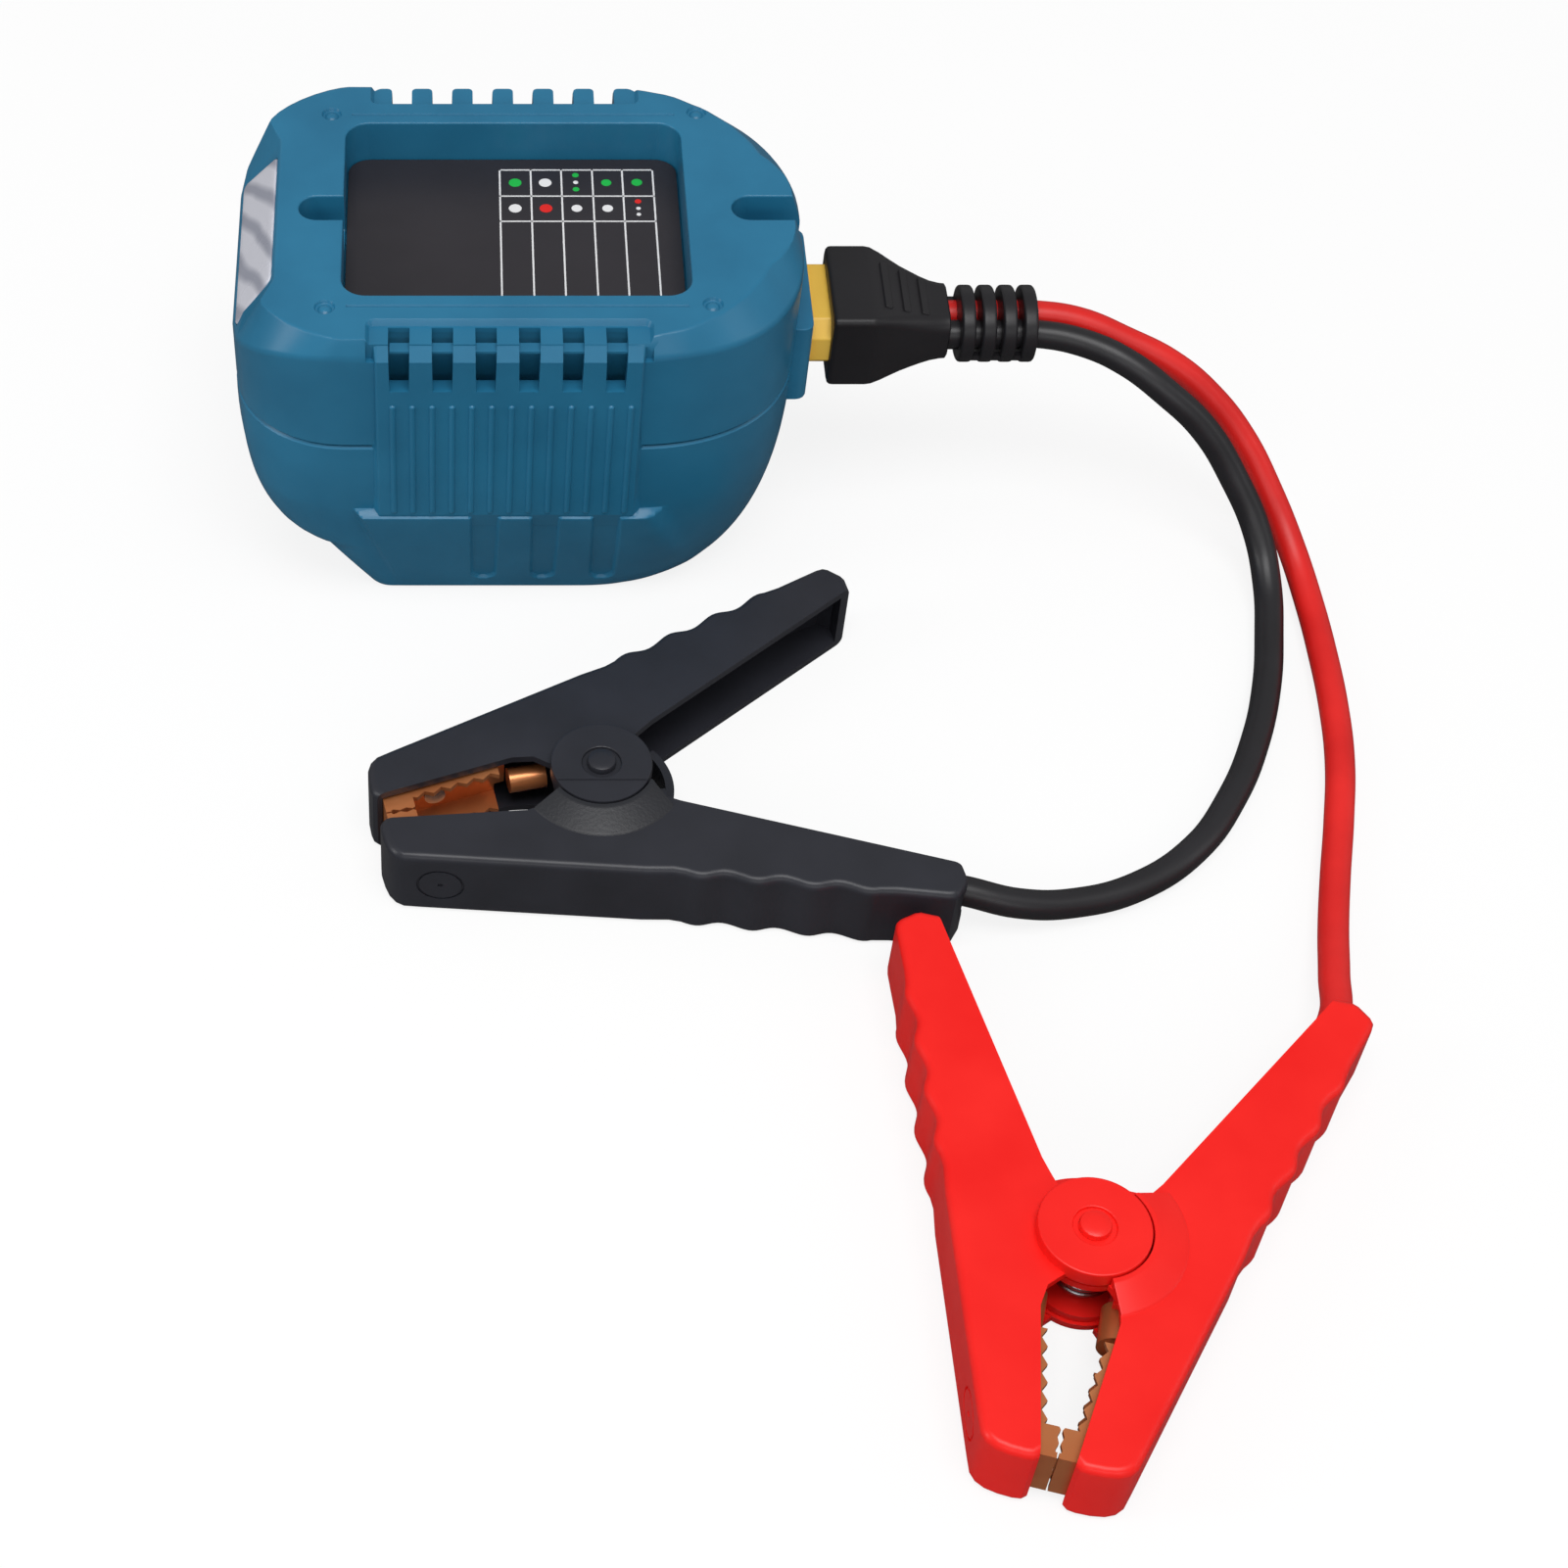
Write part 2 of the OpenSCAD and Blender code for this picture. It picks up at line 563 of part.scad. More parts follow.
// Tube of n sides swept along the points, one ring at each point.
module tube(pts, r, n) {
    m = len(pts);
    frames = [for (i = [0:m - 1]) let (
        t = unit(pts[min(i + 1, m - 1)] - pts[max(i - 1, 0)]),
        a = unit(cross([0, 0, 1], t)),
        b = cross(t, a)) [a, b]];
    loft([for (i = [0:m - 1]) [for (k = [0:n - 1])
        pts[i] + r * (cos(360 * k / n) * frames[i][0] + sin(360 * k / n) * frames[i][1])]]);
}

// Where each clamp lies: pivot position and turn about Z.
black_pos = [14.6, -93.2, 0];
black_turn = 12;
red_pos = [91.5, -191.8, 0];
red_turn = 74.8;
function placed(p, pos, turn) = [
    pos.x + p.x * cos(turn) - p.y * sin(turn),
    pos.y + p.x * sin(turn) + p.y * cos(turn),
    p.z
];
// Run of a lead inside the wire arm, from the grip's end to the lug, in the clamp's own frame.
grip_run = [
    [58.4, -35.8, 9], [47, -31.5, 9.6], [36, -27, 9.6], [25, -22, 9.6], [14, -17.8, 9.4],
    [6, -14.2, 8.8], [0.5, -10.8, 8.2], [-4, -8.3, 7.9], [-8, -7.4, 7.8], [-13.6, -7.4, 7.8]];
red_route = concat([
    [relief_x - lead_in, lead_y, neck_z], [relief_x + 9.5, lead_y, neck_z],
    [relief_x + 18, lead_y, neck_z], [relief_x + 27, 2, neck_z - 1], [121, -0.4, 37.8],
    [130.3, -3.2, 34.2], [138.3, -6.4, 28.8], [145.9, -11, 21.2], [151.8, -17.8, 13],
    [156, -26.7, 6.5], [158.1, -38.7, 3.2], [158.3, -52.7, 3], [157.8, -66.7, 3],
    [156.3, -80.7, 3], [153.4, -94.7, 3], [150, -108.7, 3], [147, -121.3, 4], [144.3, -133, 6.5]],
    [for (p = grip_run) placed(p, red_pos, red_turn)]);
black_route = concat([
    [relief_x - lead_in, -lead_y, neck_z], [relief_x + 9.5, -lead_y, neck_z],
    [relief_x + 18, -lead_y, neck_z], [relief_x + 27, -4.9, neck_z - 0.6], [119.5, -8.6, 39.6],
    [127.9, -12.9, 35.2], [136.2, -16.2, 28.4], [143.2, -20.8, 19.2], [148.2, -26.9, 11],
    [150, -35.7, 5], [148.7, -47.7, 3], [145.7, -61.7, 3], [141, -75.7, 3], [134.3, -89.4, 3],
    [125.3, -101.8, 3], [113.4, -110.6, 3], [101, -115.2, 4], [90, -117.2, 6.5]],
    [for (p = grip_run) placed(p, black_pos, black_turn)]);
module red_lead() color(red) tube(red_route, lead_r, 10);
module black_lead() color(ink) tube(black_route, lead_r, 10);

// ---------- clamps ----------

// Outline of one arm in the clamp's own frame: jaws towards -X, this arm on the +Y side.
nose_x = -42.5;
mouth_y = 2.8;
throat = [-15.5, 6.4];
grip_x = 58.5;
grip_end_in = 34.8;
grip_end_out = 42;
hip = [7, 25.8];
nose_corner = [2, 12];       // outer corner of the nose, X from nose_x
wave_pitch = 9.6;
wave_depth = 1;
waves = [9:2.4:42];
function outer_y(x) = hip.y + (x - hip.x) * (grip_end_out - hip.y) / (grip_x - 3.5 - hip.x);
function wave(x) = wave_depth * sin(360 * (x - 9) / wave_pitch);
arm_outline = concat(
    [[nose_x + 1, mouth_y], [nose_x, 5], [nose_x + 0.3, 9.2], [nose_x + nose_corner.x, nose_corner.y], hip],
    [for (x = waves) [x, outer_y(x) + wave(x)]],
    [[grip_x - 3.5, grip_end_out], [grip_x, grip_end_out - 3.5], [grip_x, grip_end_in], [10.4, 9], [7, 6.2],
     [0, 5], [-8.5, 3.2], [-11.5, 5.8], throat]);
inner_outline = concat(
    [[nose_x + arm_wall, -2], [nose_x + arm_wall, 8.3],
     [nose_x + nose_corner.x + 1.3, nose_corner.y - arm_wall],
     [hip.x + 0.6, hip.y - arm_wall]],
    [for (x = waves) [x, outer_y(x) + wave(x) - arm_wall - 0.1]],
    [[grip_x - 4, grip_end_out - arm_wall - 0.4], [grip_x - arm_wall, grip_end_out - 4.6],
     [grip_x - arm_wall, 20], [20, 0], [0, -5]]);
ear_t = 1.5;
ear_z = arm_wall + 0.2;
ear_r = 8.8;
knuckle_r = 13.8;
knuckle_top = 10.4;
module arm_plan(h, z) translate([0, 0, z]) linear_extrude(h) polygon(arm_outline);
module pivot_hole(r) translate([0, 0, -1]) cylinder(h = 30, r = r, $fn = 40);
module disc(r, z0, z1) translate([0, 0, z0]) cylinder(h = z1 - z0, r = r, $fn = 60);

module disc_arm() difference() {
    union() {
        difference() {
            arm_plan(arm_h, 0);
            translate([0, 0, arm_wall]) linear_extrude(arm_h - 2 * arm_wall) polygon(inner_outline);
            disc(disc_r + 0.4, arm_wall, arm_h - arm_wall);
        }
        rivet_boss();
        disc(disc_r, 0, arm_wall);
        disc(disc_r, arm_h - arm_wall, arm_h + disc_up);
    }
    pivot_hole(pivot_d / 2 + fit);
    rivet_hole();
    disc(3.5, -1, 1.1);
    difference() {
        disc(4.6, arm_h + disc_up - 0.5, arm_h + disc_up + 1);
        disc(3.6, arm_h + disc_up - 1, arm_h + disc_up + 2);
    }
}

module wire_arm() difference() {
    union() {
        difference() {
            union() {
                flip() arm_plan(arm_h, 0);
                collar();
            }
            flip() translate([0, 0, arm_wall]) linear_extrude(arm_h - 2 * arm_wall) polygon(inner_outline);
            disc(disc_r + gap, -1, arm_h + 9);
        }
        flip() rivet_boss();
        knuckle();
        for (z = [ear_z, arm_h - ear_z - ear_t]) intersection() {
            union() {
                disc(ear_r, z, z + ear_t);
                slab([-11, -15.5, z], [11, -5, z + ear_t]);
            }
            disc(collar_r - 1, 0, arm_h);
        }
        for (z = [arm_wall - 0.2, arm_h - ear_z - 0.2]) difference() {
            intersection() {
                slab([-11, -15.5, z], [11, -5, z + 0.6]);
                disc(collar_r - 1, 0, arm_h);
            }
            disc(disc_r + gap, 0, arm_h);
        }
    }
    pivot_hole(pivot_d / 2 + 0.02);
    flip() rivet_hole();
    // Window for the lead in the end of the grip.
    slab([grip_x - 3, -grip_end_out + 2.5, grip_run[0].z - lead_r - 2 * gap],
         [grip_x + 1, -31.5, grip_run[0].z + lead_r + 2 * gap]);
}
// Curved wall that closes the wire arm round the back of the spring.
module knuckle() difference() {
    intersection() {
        disc(knuckle_r, ear_z, knuckle_top);
        translate([0, 0, -1]) linear_extrude(arm_h)
            polygon([[0, 0], for (a = [-50:10:30]) 30 * [cos(a), sin(a)]]);
    }
    disc(knuckle_r - 1.6, -1, arm_h);
}
module collar() intersection() {
    translate([0, 0, arm_h - 0.1]) cylinder(h = disc_up - 0.4, r1 = collar_r, r2 = disc_r + 0.9, $fn = 60);
    translate([0, 0, arm_h - 1]) linear_extrude(9)
        polygon([[0, 0], [-18, -8], [-18, -30], [18, -30], [18, -9]]);
}

module pivot_pin() {
    disc(pivot_d / 2, 0.2, arm_h + disc_up + 0.3);
    disc(3.2, 0.2, 1);
    disc(3.4, arm_h + disc_up + 0.05, arm_h + disc_up + 0.9);
}

// Torsion spring: leg in the wire arm, coil round the pin, leg in the disc arm.
coil_gap = 0.45;
coil_pitch = wire_d + coil_gap;
coil_full_turns = 4;
leg_a = grip_angle + 3;
leg_l = 42;
coil_sweep = 360 * coil_full_turns + 180 - 2 * leg_a;
coil_z0 = arm_h / 2 - coil_pitch * coil_sweep / 720;
coil_steps = ceil(coil_sweep / 45);
function coil_pt(i) = let (s = i / coil_steps, a = -90 - leg_a - coil_sweep * s)
    [coil_r * cos(a), coil_r * sin(a), coil_z0 + coil_pitch * coil_sweep / 360 * s];
coil_pts = [for (i = [0:coil_steps]) coil_pt(i)];
leg_out = [cos(leg_a), sin(leg_a), 0];
leg_in = [cos(leg_a), -sin(leg_a), 0];
spring_pts = concat(
    [for (s = [leg_l, leg_l / 2, 3]) coil_pts[0] + s * leg_in], coil_pts,
    [for (s = [3, leg_l / 2, leg_l]) coil_pts[coil_steps] + s * leg_out]);
// Least distance between wire surfaces of rings at least 3/4 turn apart.
least_gap = min([for (i = [0:coil_steps - 6]) for (j = [i + 6:coil_steps])
    norm(coil_pts[i] - coil_pts[j]) - wire_d]);
echo(spring_least_gap = least_gap);
module spring() tube(spring_pts, wire_d / 2, 6);

// Copper jaw plate: a channel with scalloped edges, on the +Y side.
jaw_in = 0.35;
jaw_x0 = nose_x + arm_wall + 0.15;
jaw_x1 = -18;
tip_x = jaw_x0 + 5.5;
tooth_pitch = 3.2;
jaw_meet = 0.15;
function mouth(x) = mouth_y + (x - nose_x) * (throat.y - mouth_y) / (throat.x - nose_x);
jaw_edge = [for (x = [tip_x:tooth_pitch / 4:jaw_x1])
    [x, mouth(x) - 1 - 0.5 * sin(360 * (x - tip_x) / tooth_pitch)]];
jaw_back = [[jaw_x1, 10.5], [jaw_x0 + 2, 8.6], [jaw_x0, 7.4]];
tip_teeth = [for (i = [0:4]) [jaw_x0 + 0.2 + i * 1.2, jaw_meet + (i % 2) * 0.4]];
module jaw() {
    z0 = arm_wall + jaw_in;
    z1 = arm_h - arm_wall - jaw_in;
    for (z = [z0, z1 - jaw_t]) translate([0, 0, z]) linear_extrude(jaw_t)
        polygon(concat([[jaw_x0, jaw_meet + 0.2]], tip_teeth, [[tip_x, jaw_meet + 0.3]], jaw_edge, jaw_back));
    translate([0, 0, z0]) linear_extrude(z1 - z0)
        polygon([[jaw_x0, jaw_meet], [jaw_x0 + jaw_t, jaw_meet], [jaw_x0 + jaw_t, 7], [jaw_x0, 7.2]]);
    difference() {
        translate([0, 0, z0]) linear_extrude(z1 - z0)
            polygon([[jaw_x0, 6.4], [jaw_x1, 9.5], [jaw_x1, 10.5], [jaw_x0 + 2, 8.6], [jaw_x0, 7.4]]);
        rivet_axis() cylinder(h = 30, r = 1.25 + fit, center = true, $fn = 24);
    }
    // Tongue that carries the lug.
    translate([0, 0, arm_h / 2 - 3]) linear_extrude(6)
        polygon([[jaw_x1 - 1, 9.4], [lug_x, 9.9], [lug_x, 10.9], [jaw_x1 - 1, 10.4]]);
}
module rivet_axis() translate([-30, 8.4, arm_h / 2]) rotate([-90, 0, 0]) children();
module rivet_boss() rivet_axis() translate([0, 0, 1.4]) cylinder(h = 6, r = 2.6, $fn = 32);
module rivet_hole() rivet_axis() translate([0, 0, -2]) cylinder(h = 8, r = 1.25 + fit, $fn = 24);
module rivet() rivet_axis() {
    translate([0, 0, -1.9]) cylinder(h = 1, r = 2, $fn = 32);
    translate([0, 0, -1.2]) cylinder(h = 7, r = 1.25, $fn = 24);
}
lug_x = -16;
lug_l = 7;
lug_y = 7.4;
module lug(bore) translate([lug_x + 0.2, lug_y, arm_h / 2]) rotate([0, 90, 0]) difference() {
    cylinder(h = lug_l, r = bore + 0.8, $fn = 36);
    translate([0, 0, 2]) cylinder(h = lug_l, r = bore, $fn = 32);
}

module clamp_at(pos, turn) translate(pos) rotate(turn) children();
module at_black(c) color(c) clamp_at(black_pos, black_turn) children();
module at_red(c) color(c) clamp_at(red_pos, red_turn) children();
module flip() mirror([0, 1, 0]) children();

top_housing();
bottom_housing();
label_plate();
lamp_lens();
lamp_reflector();
lamp_board();
housing_screws();
circuit_board();
capacitors();
power_inductor();
heat_sink();
power_transistors();
terminal_block();
terminal_blades();
output_socket();
socket_pins();
output_busbars();
plug_shell();
plug_contacts();
plug_cover();
strain_relief();
red_lead();
black_lead();
at_black(ink) wire_arm();  // black_wire_arm
at_black(ink) disc_arm();  // black_disc_arm
at_black(ink) pivot_pin();  // black_pivot_pin
at_black(steel) spring();  // black_spring
at_black(copper) flip() jaw();  // black_wire_jaw
at_black(copper) jaw();  // black_disc_jaw
at_black(steel) flip() rivet();  // black_wire_rivet
at_black(steel) rivet();  // black_disc_rivet
at_black(copper) flip() lug(lead_r + fit);  // black_wire_lug
at_black(copper) lug(1.6);  // black_disc_lug
at_red(red) wire_arm();  // red_wire_arm
at_red(red) disc_arm();  // red_disc_arm
at_red(red) pivot_pin();  // red_pivot_pin
at_red(steel) spring();  // red_spring
at_red(copper) flip() jaw();  // red_wire_jaw
at_red(copper) jaw();  // red_disc_jaw
at_red(steel) flip() rivet();  // red_wire_rivet
at_red(steel) rivet();  // red_disc_rivet
at_red(copper) flip() lug(lead_r + fit);  // red_wire_lug
at_red(copper) lug(1.6);  // red_disc_lug
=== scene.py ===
import bmesh
import bpy
import math
from mathutils import Matrix, Vector, kdtree


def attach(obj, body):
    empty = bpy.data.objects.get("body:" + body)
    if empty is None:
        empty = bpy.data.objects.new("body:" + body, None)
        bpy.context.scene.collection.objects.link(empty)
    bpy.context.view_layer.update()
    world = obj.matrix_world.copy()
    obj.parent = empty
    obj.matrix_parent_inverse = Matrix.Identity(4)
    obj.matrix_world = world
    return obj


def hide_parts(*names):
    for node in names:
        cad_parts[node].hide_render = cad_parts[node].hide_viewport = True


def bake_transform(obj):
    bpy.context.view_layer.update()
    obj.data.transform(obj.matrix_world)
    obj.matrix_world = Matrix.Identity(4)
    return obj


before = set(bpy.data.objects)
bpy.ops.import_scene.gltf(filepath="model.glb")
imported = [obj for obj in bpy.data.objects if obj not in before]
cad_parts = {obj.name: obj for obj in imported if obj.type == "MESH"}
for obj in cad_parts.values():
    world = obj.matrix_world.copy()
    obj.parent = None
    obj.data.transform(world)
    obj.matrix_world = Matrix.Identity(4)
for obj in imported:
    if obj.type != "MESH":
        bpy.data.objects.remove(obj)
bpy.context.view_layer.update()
mm = 0.001

# Camera: the pack is seen from the front and about fifty degrees above the table, with the
# view centred on the housing, so the frame is shifted to the right to take in the clamps.
camera_elevation = math.radians(50.35)
bpy.ops.object.camera_add(location=(-0.0150, -0.4434, 0.4341),
                          rotation=(math.pi / 2 - camera_elevation, 0, 0))
camera = bpy.context.object
camera.data.lens = 67.885
camera.data.sensor_width = 36
camera.data.shift_x = 0.2189
bpy.context.scene.camera = camera

# Leads: two silicone sleeves, 5.6 mm across, full of fine copper strands. They leave the
# connector's ribbed sleeve side by side, fall to the table and run into the clamps' grips.

# What every moulded surface shares: soft patches of tone and a very fine grain. The four numbers
# are the sockets of a Mix node for colours.
mix_factor, mix_a, mix_b, mix_out = 0, 6, 7, 2
roughness_spread = 0.12


def fill(made, **values):
    """Puts values on the sockets of these names, with a space for each underscore."""
    for socket, value in values.items():
        made.inputs[socket.replace("_", " ")].default_value = value
    return made


def node(tree, kind, **values):
    """New node with these values on its sockets."""
    return fill(tree.nodes.new(kind), **values)


def wired(tree, *rows):
    """Links nodes; each row is a node, its output, the next node and its input."""
    for start, out, end, into in rows:
        tree.links.new(start.outputs[out], end.inputs[into])


moulding = bpy.data.node_groups.new("moulded_surface", "ShaderNodeTree")
for socket, kind, value in (("Colour", "NodeSocketColor", (1, 1, 1, 1)),
                            ("Shade", "NodeSocketColor", (0, 0, 0, 1)),
                            ("Roughness", "NodeSocketFloat", 0.4),
                            ("Patch Scale", "NodeSocketFloat", 60),
                            ("Grain Scale", "NodeSocketFloat", 1500),
                            ("Grain Strength", "NodeSocketFloat", 0.1)):
    added = moulding.interface.new_socket(name=socket, in_out="INPUT", socket_type=kind)
    added.default_value = value
for socket, kind in (("Colour", "NodeSocketColor"), ("Roughness", "NodeSocketFloat"),
                     ("Normal", "NodeSocketVector")):
    moulding.interface.new_socket(name=socket, in_out="OUTPUT", socket_type=kind)
given = node(moulding, "NodeGroupInput")
result = node(moulding, "NodeGroupOutput")
place = node(moulding, "ShaderNodeTexCoord")
patches = node(moulding, "ShaderNodeTexNoise", Detail=3)
grain = node(moulding, "ShaderNodeTexNoise", Detail=2)
tone = node(moulding, "ShaderNodeMix")
tone.data_type = "RGBA"
spread = node(moulding, "ShaderNodeMapRange", From_Min=0.3, From_Max=0.7)
uneven = node(moulding, "ShaderNodeMath")
uneven.operation = "MULTIPLY_ADD"
uneven.inputs[1].default_value = roughness_spread
bump = node(moulding, "ShaderNodeBump", Distance=0.00005)
wired(moulding, (place, "Object", patches, "Vector"), (place, "Object", grain, "Vector"),
      (given, "Patch Scale", patches, "Scale"), (given, "Grain Scale", grain, "Scale"),
      (patches, "Fac", spread, "Value"), (spread, "Result", tone, mix_factor),
      (given, "Colour", tone, mix_a), (given, "Shade", tone, mix_b),
      (tone, mix_out, result, "Colour"), (patches, "Fac", uneven, 0),
      (given, "Roughness", uneven, 2), (uneven, 0, result, "Roughness"),
      (grain, "Fac", bump, "Height"), (given, "Grain Strength", bump, "Strength"),
      (bump, "Normal", result, "Normal"))


def srgb(code):
    """Linear colour of a code such as 2A7599."""
    parts = [int(code[i:i + 2], 16) / 255 for i in (0, 2, 4)]
    return tuple(c / 12.92 if c < 0.04045 else ((c + 0.055) / 1.055) ** 2.4 for c in parts) + (1,)


def finish(name, code, shade, roughness, grain=0.1, grain_scale=1500, **shader_values):
    """Material with the moulded surface's variation; other values go on the shader's own sockets."""
    material = bpy.data.materials.new(name)
    material.use_nodes = True
    tree = material.node_tree
    shader = fill(tree.nodes["Principled BSDF"], **shader_values)
    surface = tree.nodes.new("ShaderNodeGroup")
    surface.node_tree = moulding
    fill(surface, Colour=srgb(code), Shade=srgb(shade), Roughness=roughness - roughness_spread / 2,
         Grain_Scale=grain_scale, Grain_Strength=grain)
    wired(tree, (surface, "Colour", shader, "Base Color"), (surface, "Roughness", shader, "Roughness"),
          (surface, "Normal", shader, "Normal"))
    return material


sleeve_d = 5.6
relief_x = 84.7
neck_z = 41.7
lead_y = 2.9
grip_points = [(58.4, -35.8, 9), (47, -31.5, 9.6), (36, -27, 9.6), (25, -22, 9.6), (14, -17.8, 9.4),
               (6, -14.2, 8.8), (0.5, -10.8, 8.2), (-4, -8.3, 7.9), (-8, -7.4, 7.8), (-13.6, -7.4, 7.8)]
red_points = [(relief_x - 4, lead_y, neck_z), (relief_x + 9.5, lead_y, neck_z),
              (relief_x + 18, lead_y, neck_z), (relief_x + 27, 2, neck_z - 1), (121, -0.4, 37.8),
              (130.3, -3.2, 34.2), (138.3, -6.4, 28.8), (145.9, -11, 21.2), (151.8, -17.8, 13),
              (156, -26.7, 6.5), (158.1, -38.7, 3.2), (158.3, -52.7, 3), (157.8, -66.7, 3),
              (156.3, -80.7, 3), (153.4, -94.7, 3), (150, -108.7, 3), (147, -121.3, 4),
              (144.3, -133, 6.5)]
black_points = [(relief_x - 4, -lead_y, neck_z), (relief_x + 9.5, -lead_y, neck_z),
                (relief_x + 18, -lead_y, neck_z), (relief_x + 27, -4.9, neck_z - 0.6),
                (119.5, -8.6, 39.6), (127.9, -12.9, 35.2), (136.2, -16.2, 28.4), (143.2, -20.8, 19.2),
                (148.2, -26.9, 11), (150, -35.7, 5), (148.7, -47.7, 3), (145.7, -61.7, 3),
                (141, -75.7, 3), (134.3, -89.4, 3), (125.3, -101.8, 3), (113.4, -110.6, 3),
                (101, -115.2, 4), (90, -117.2, 6.5)]


def on_clamp(point, pivot, turn):
    """Place in the frame of a point given in a clamp's own frame."""
    a = math.radians(turn)
    x, y, z = point
    return (pivot[0] + x * math.cos(a) - y * math.sin(a), pivot[1] + x * math.sin(a) + y * math.cos(a), z)


black_pivot, black_turn = (14.6, -93.2), 12
red_pivot, red_turn = (91.5, -191.8), 74.8


def lead(name, points, material):
    """One lead as a curve through its route."""
    bpy.ops.object.select_all(action="DESELECT")
    bpy.ops.curve.primitive_bezier_curve_add()
    flex = bpy.context.object
    flex.name = name
    spline = flex.data.splines[0]
    spline.bezier_points.add(len(points) - len(spline.bezier_points))
    for knot, point in zip(spline.bezier_points, points):
        knot.co = Vector(point) * mm
        knot.handle_left_type = knot.handle_right_type = "AUTO"
    flex.data.dimensions = "3D"
    flex.data.resolution_u = 8
    flex.data.bevel_depth = sleeve_d / 2 * mm
    flex.data.bevel_resolution = 7
    flex.data.use_fill_caps = True
    flex.data.materials.append(material)
    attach(flex, "lead_set")
    return flex


red_silicone = finish("red_silicone", "F0241F", "DC1713", 0.42, grain=0.15, grain_scale=900)
black_silicone = finish("black_silicone", "232226", "1A191C", 0.4, grain=0.15, grain_scale=900)
red_points += [on_clamp(p, red_pivot, red_turn) for p in grip_points]
black_points += [on_clamp(p, black_pivot, black_turn) for p in grip_points]
red_flex = lead("red_silicone_lead", red_points, red_silicone)
black_flex = lead("black_silicone_lead", black_points, black_silicone)
for flex, points, colour in ((red_flex, red_points, "red"), (black_flex, black_points, "black")):
    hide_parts(colour + "_lead")

# Upper shell: satin teal nylon, injection moulded. It holds the label recess, the strap slots,
# the lamp window and the upper half of both vent panels, and screws down on the lower shell.
seam_z = 44.5
body_h = 71
half_l = 54.5
half_w = 38.5
seam_right = 53.9
seam_half_w = 37.9
wall = 2.4
end_r = 33
recess_depth = 9.5
recess_z = body_h - recess_depth
teal = finish("satin_teal_nylon", "28779C", "216D91", 0.33, grain=0.12, grain_scale=1400,
              Specular_IOR_Level=0.42)


def only(form):
    """Leaves this piece as the only selected and active one."""
    bpy.ops.object.select_all(action="DESELECT")
    form.select_set(True)
    bpy.context.view_layer.objects.active = form


def edit_all(form):
    """Opens this piece in edit mode with everything selected."""
    only(form)
    bpy.ops.object.mode_set(mode="EDIT")
    bpy.ops.mesh.select_all(action="SELECT")


def lofted(name, rings):
    """Closed solid extruded from a disc through rings of points in millimetres."""
    bpy.ops.object.select_all(action="DESELECT")
    bpy.ops.mesh.primitive_circle_add(vertices=len(rings[0]), radius=mm, fill_type="NGON")
    form = bpy.context.object
    form.name = name
    bpy.ops.object.mode_set(mode="EDIT")
    bpy.ops.mesh.select_mode(type="FACE")
    mesh = bmesh.from_edit_mesh(form.data)
    for vertex, point in zip(mesh.verts, rings[0]):
        vertex.co = Vector(point) * mm
    for last, ring in zip(rings, rings[1:]):
        bpy.ops.mesh.extrude_region_move()
        near = kdtree.KDTree(len(last))
        for i, point in enumerate(last):
            near.insert(Vector(point) * mm, i)
        near.balance()
        mesh = bmesh.from_edit_mesh(form.data)
        for vertex in [v for v in mesh.verts if v.select]:
            vertex.co = Vector(ring[near.find(vertex.co)[1]]) * mm
    bmesh.update_edit_mesh(form.data)
    bpy.ops.mesh.select_all(action="SELECT")
    bpy.ops.mesh.normals_make_consistent(inside=False)
    bpy.ops.object.mode_set(mode="OBJECT")
    return form


def block(name, low, high):
    """Box between two opposite corners in millimetres."""
    bpy.ops.object.select_all(action="DESELECT")
    bpy.ops.mesh.primitive_cube_add(size=2)
    form = bpy.context.object
    form.name = name
    middle = (Vector(low) + Vector(high)) / 2 * mm
    half = [abs(side) for side in (Vector(high) - Vector(low)) / 2 * mm]
    bpy.ops.object.mode_set(mode="EDIT")
    bpy.ops.transform.resize(value=half)
    bpy.ops.transform.translate(value=middle)
    bpy.ops.object.mode_set(mode="OBJECT")
    return form


def round_edges(form, width, segments, test):
    """Bevels the edges for which test is true of their middle and direction, in millimetres."""
    only(form)
    bpy.ops.object.mode_set(mode="EDIT")
    bpy.ops.mesh.select_mode(type="EDGE")
    bpy.ops.mesh.select_all(action="DESELECT")
    mesh = bmesh.from_edit_mesh(form.data)
    for edge in mesh.edges:
        a, b = (v.co / mm for v in edge.verts)
        edge.select_set(bool(test((a + b) / 2, (b - a).normalized())))
    bmesh.update_edit_mesh(form.data)
    bpy.ops.mesh.bevel(offset=width * mm, segments=segments, affect="EDGES", clamp_overlap=True)
    bpy.ops.object.mode_set(mode="OBJECT")
    return form


def cut(form, *tools, operation="DIFFERENCE"):
    """Takes each tool away from the piece, or joins or intersects it, and removes the tool."""
    for tool in tools:
        only(form)
        step = form.modifiers.new("cut", "BOOLEAN")
        step.object = tool
        step.operation = operation
        step.solver = "EXACT"
        bpy.ops.object.modifier_apply(modifier=step.name)
        bpy.data.objects.remove(tool)
    return form


def copied(form, name):
    """Copy with its own mesh."""
    twin = form.copy()
    twin.data = form.data.copy()
    twin.name = name
    bpy.context.scene.collection.objects.link(twin)
    return twin


def part_at(form, height, keep_above):
    """Cuts the piece level at a height and keeps one side."""
    edit_all(form)
    bpy.ops.mesh.bisect(plane_co=(0, 0, height * mm), plane_no=(0, 0, 1), use_fill=True,
                        clear_inner=keep_above, clear_outer=not keep_above)
    bpy.ops.object.mode_set(mode="OBJECT")
    return form


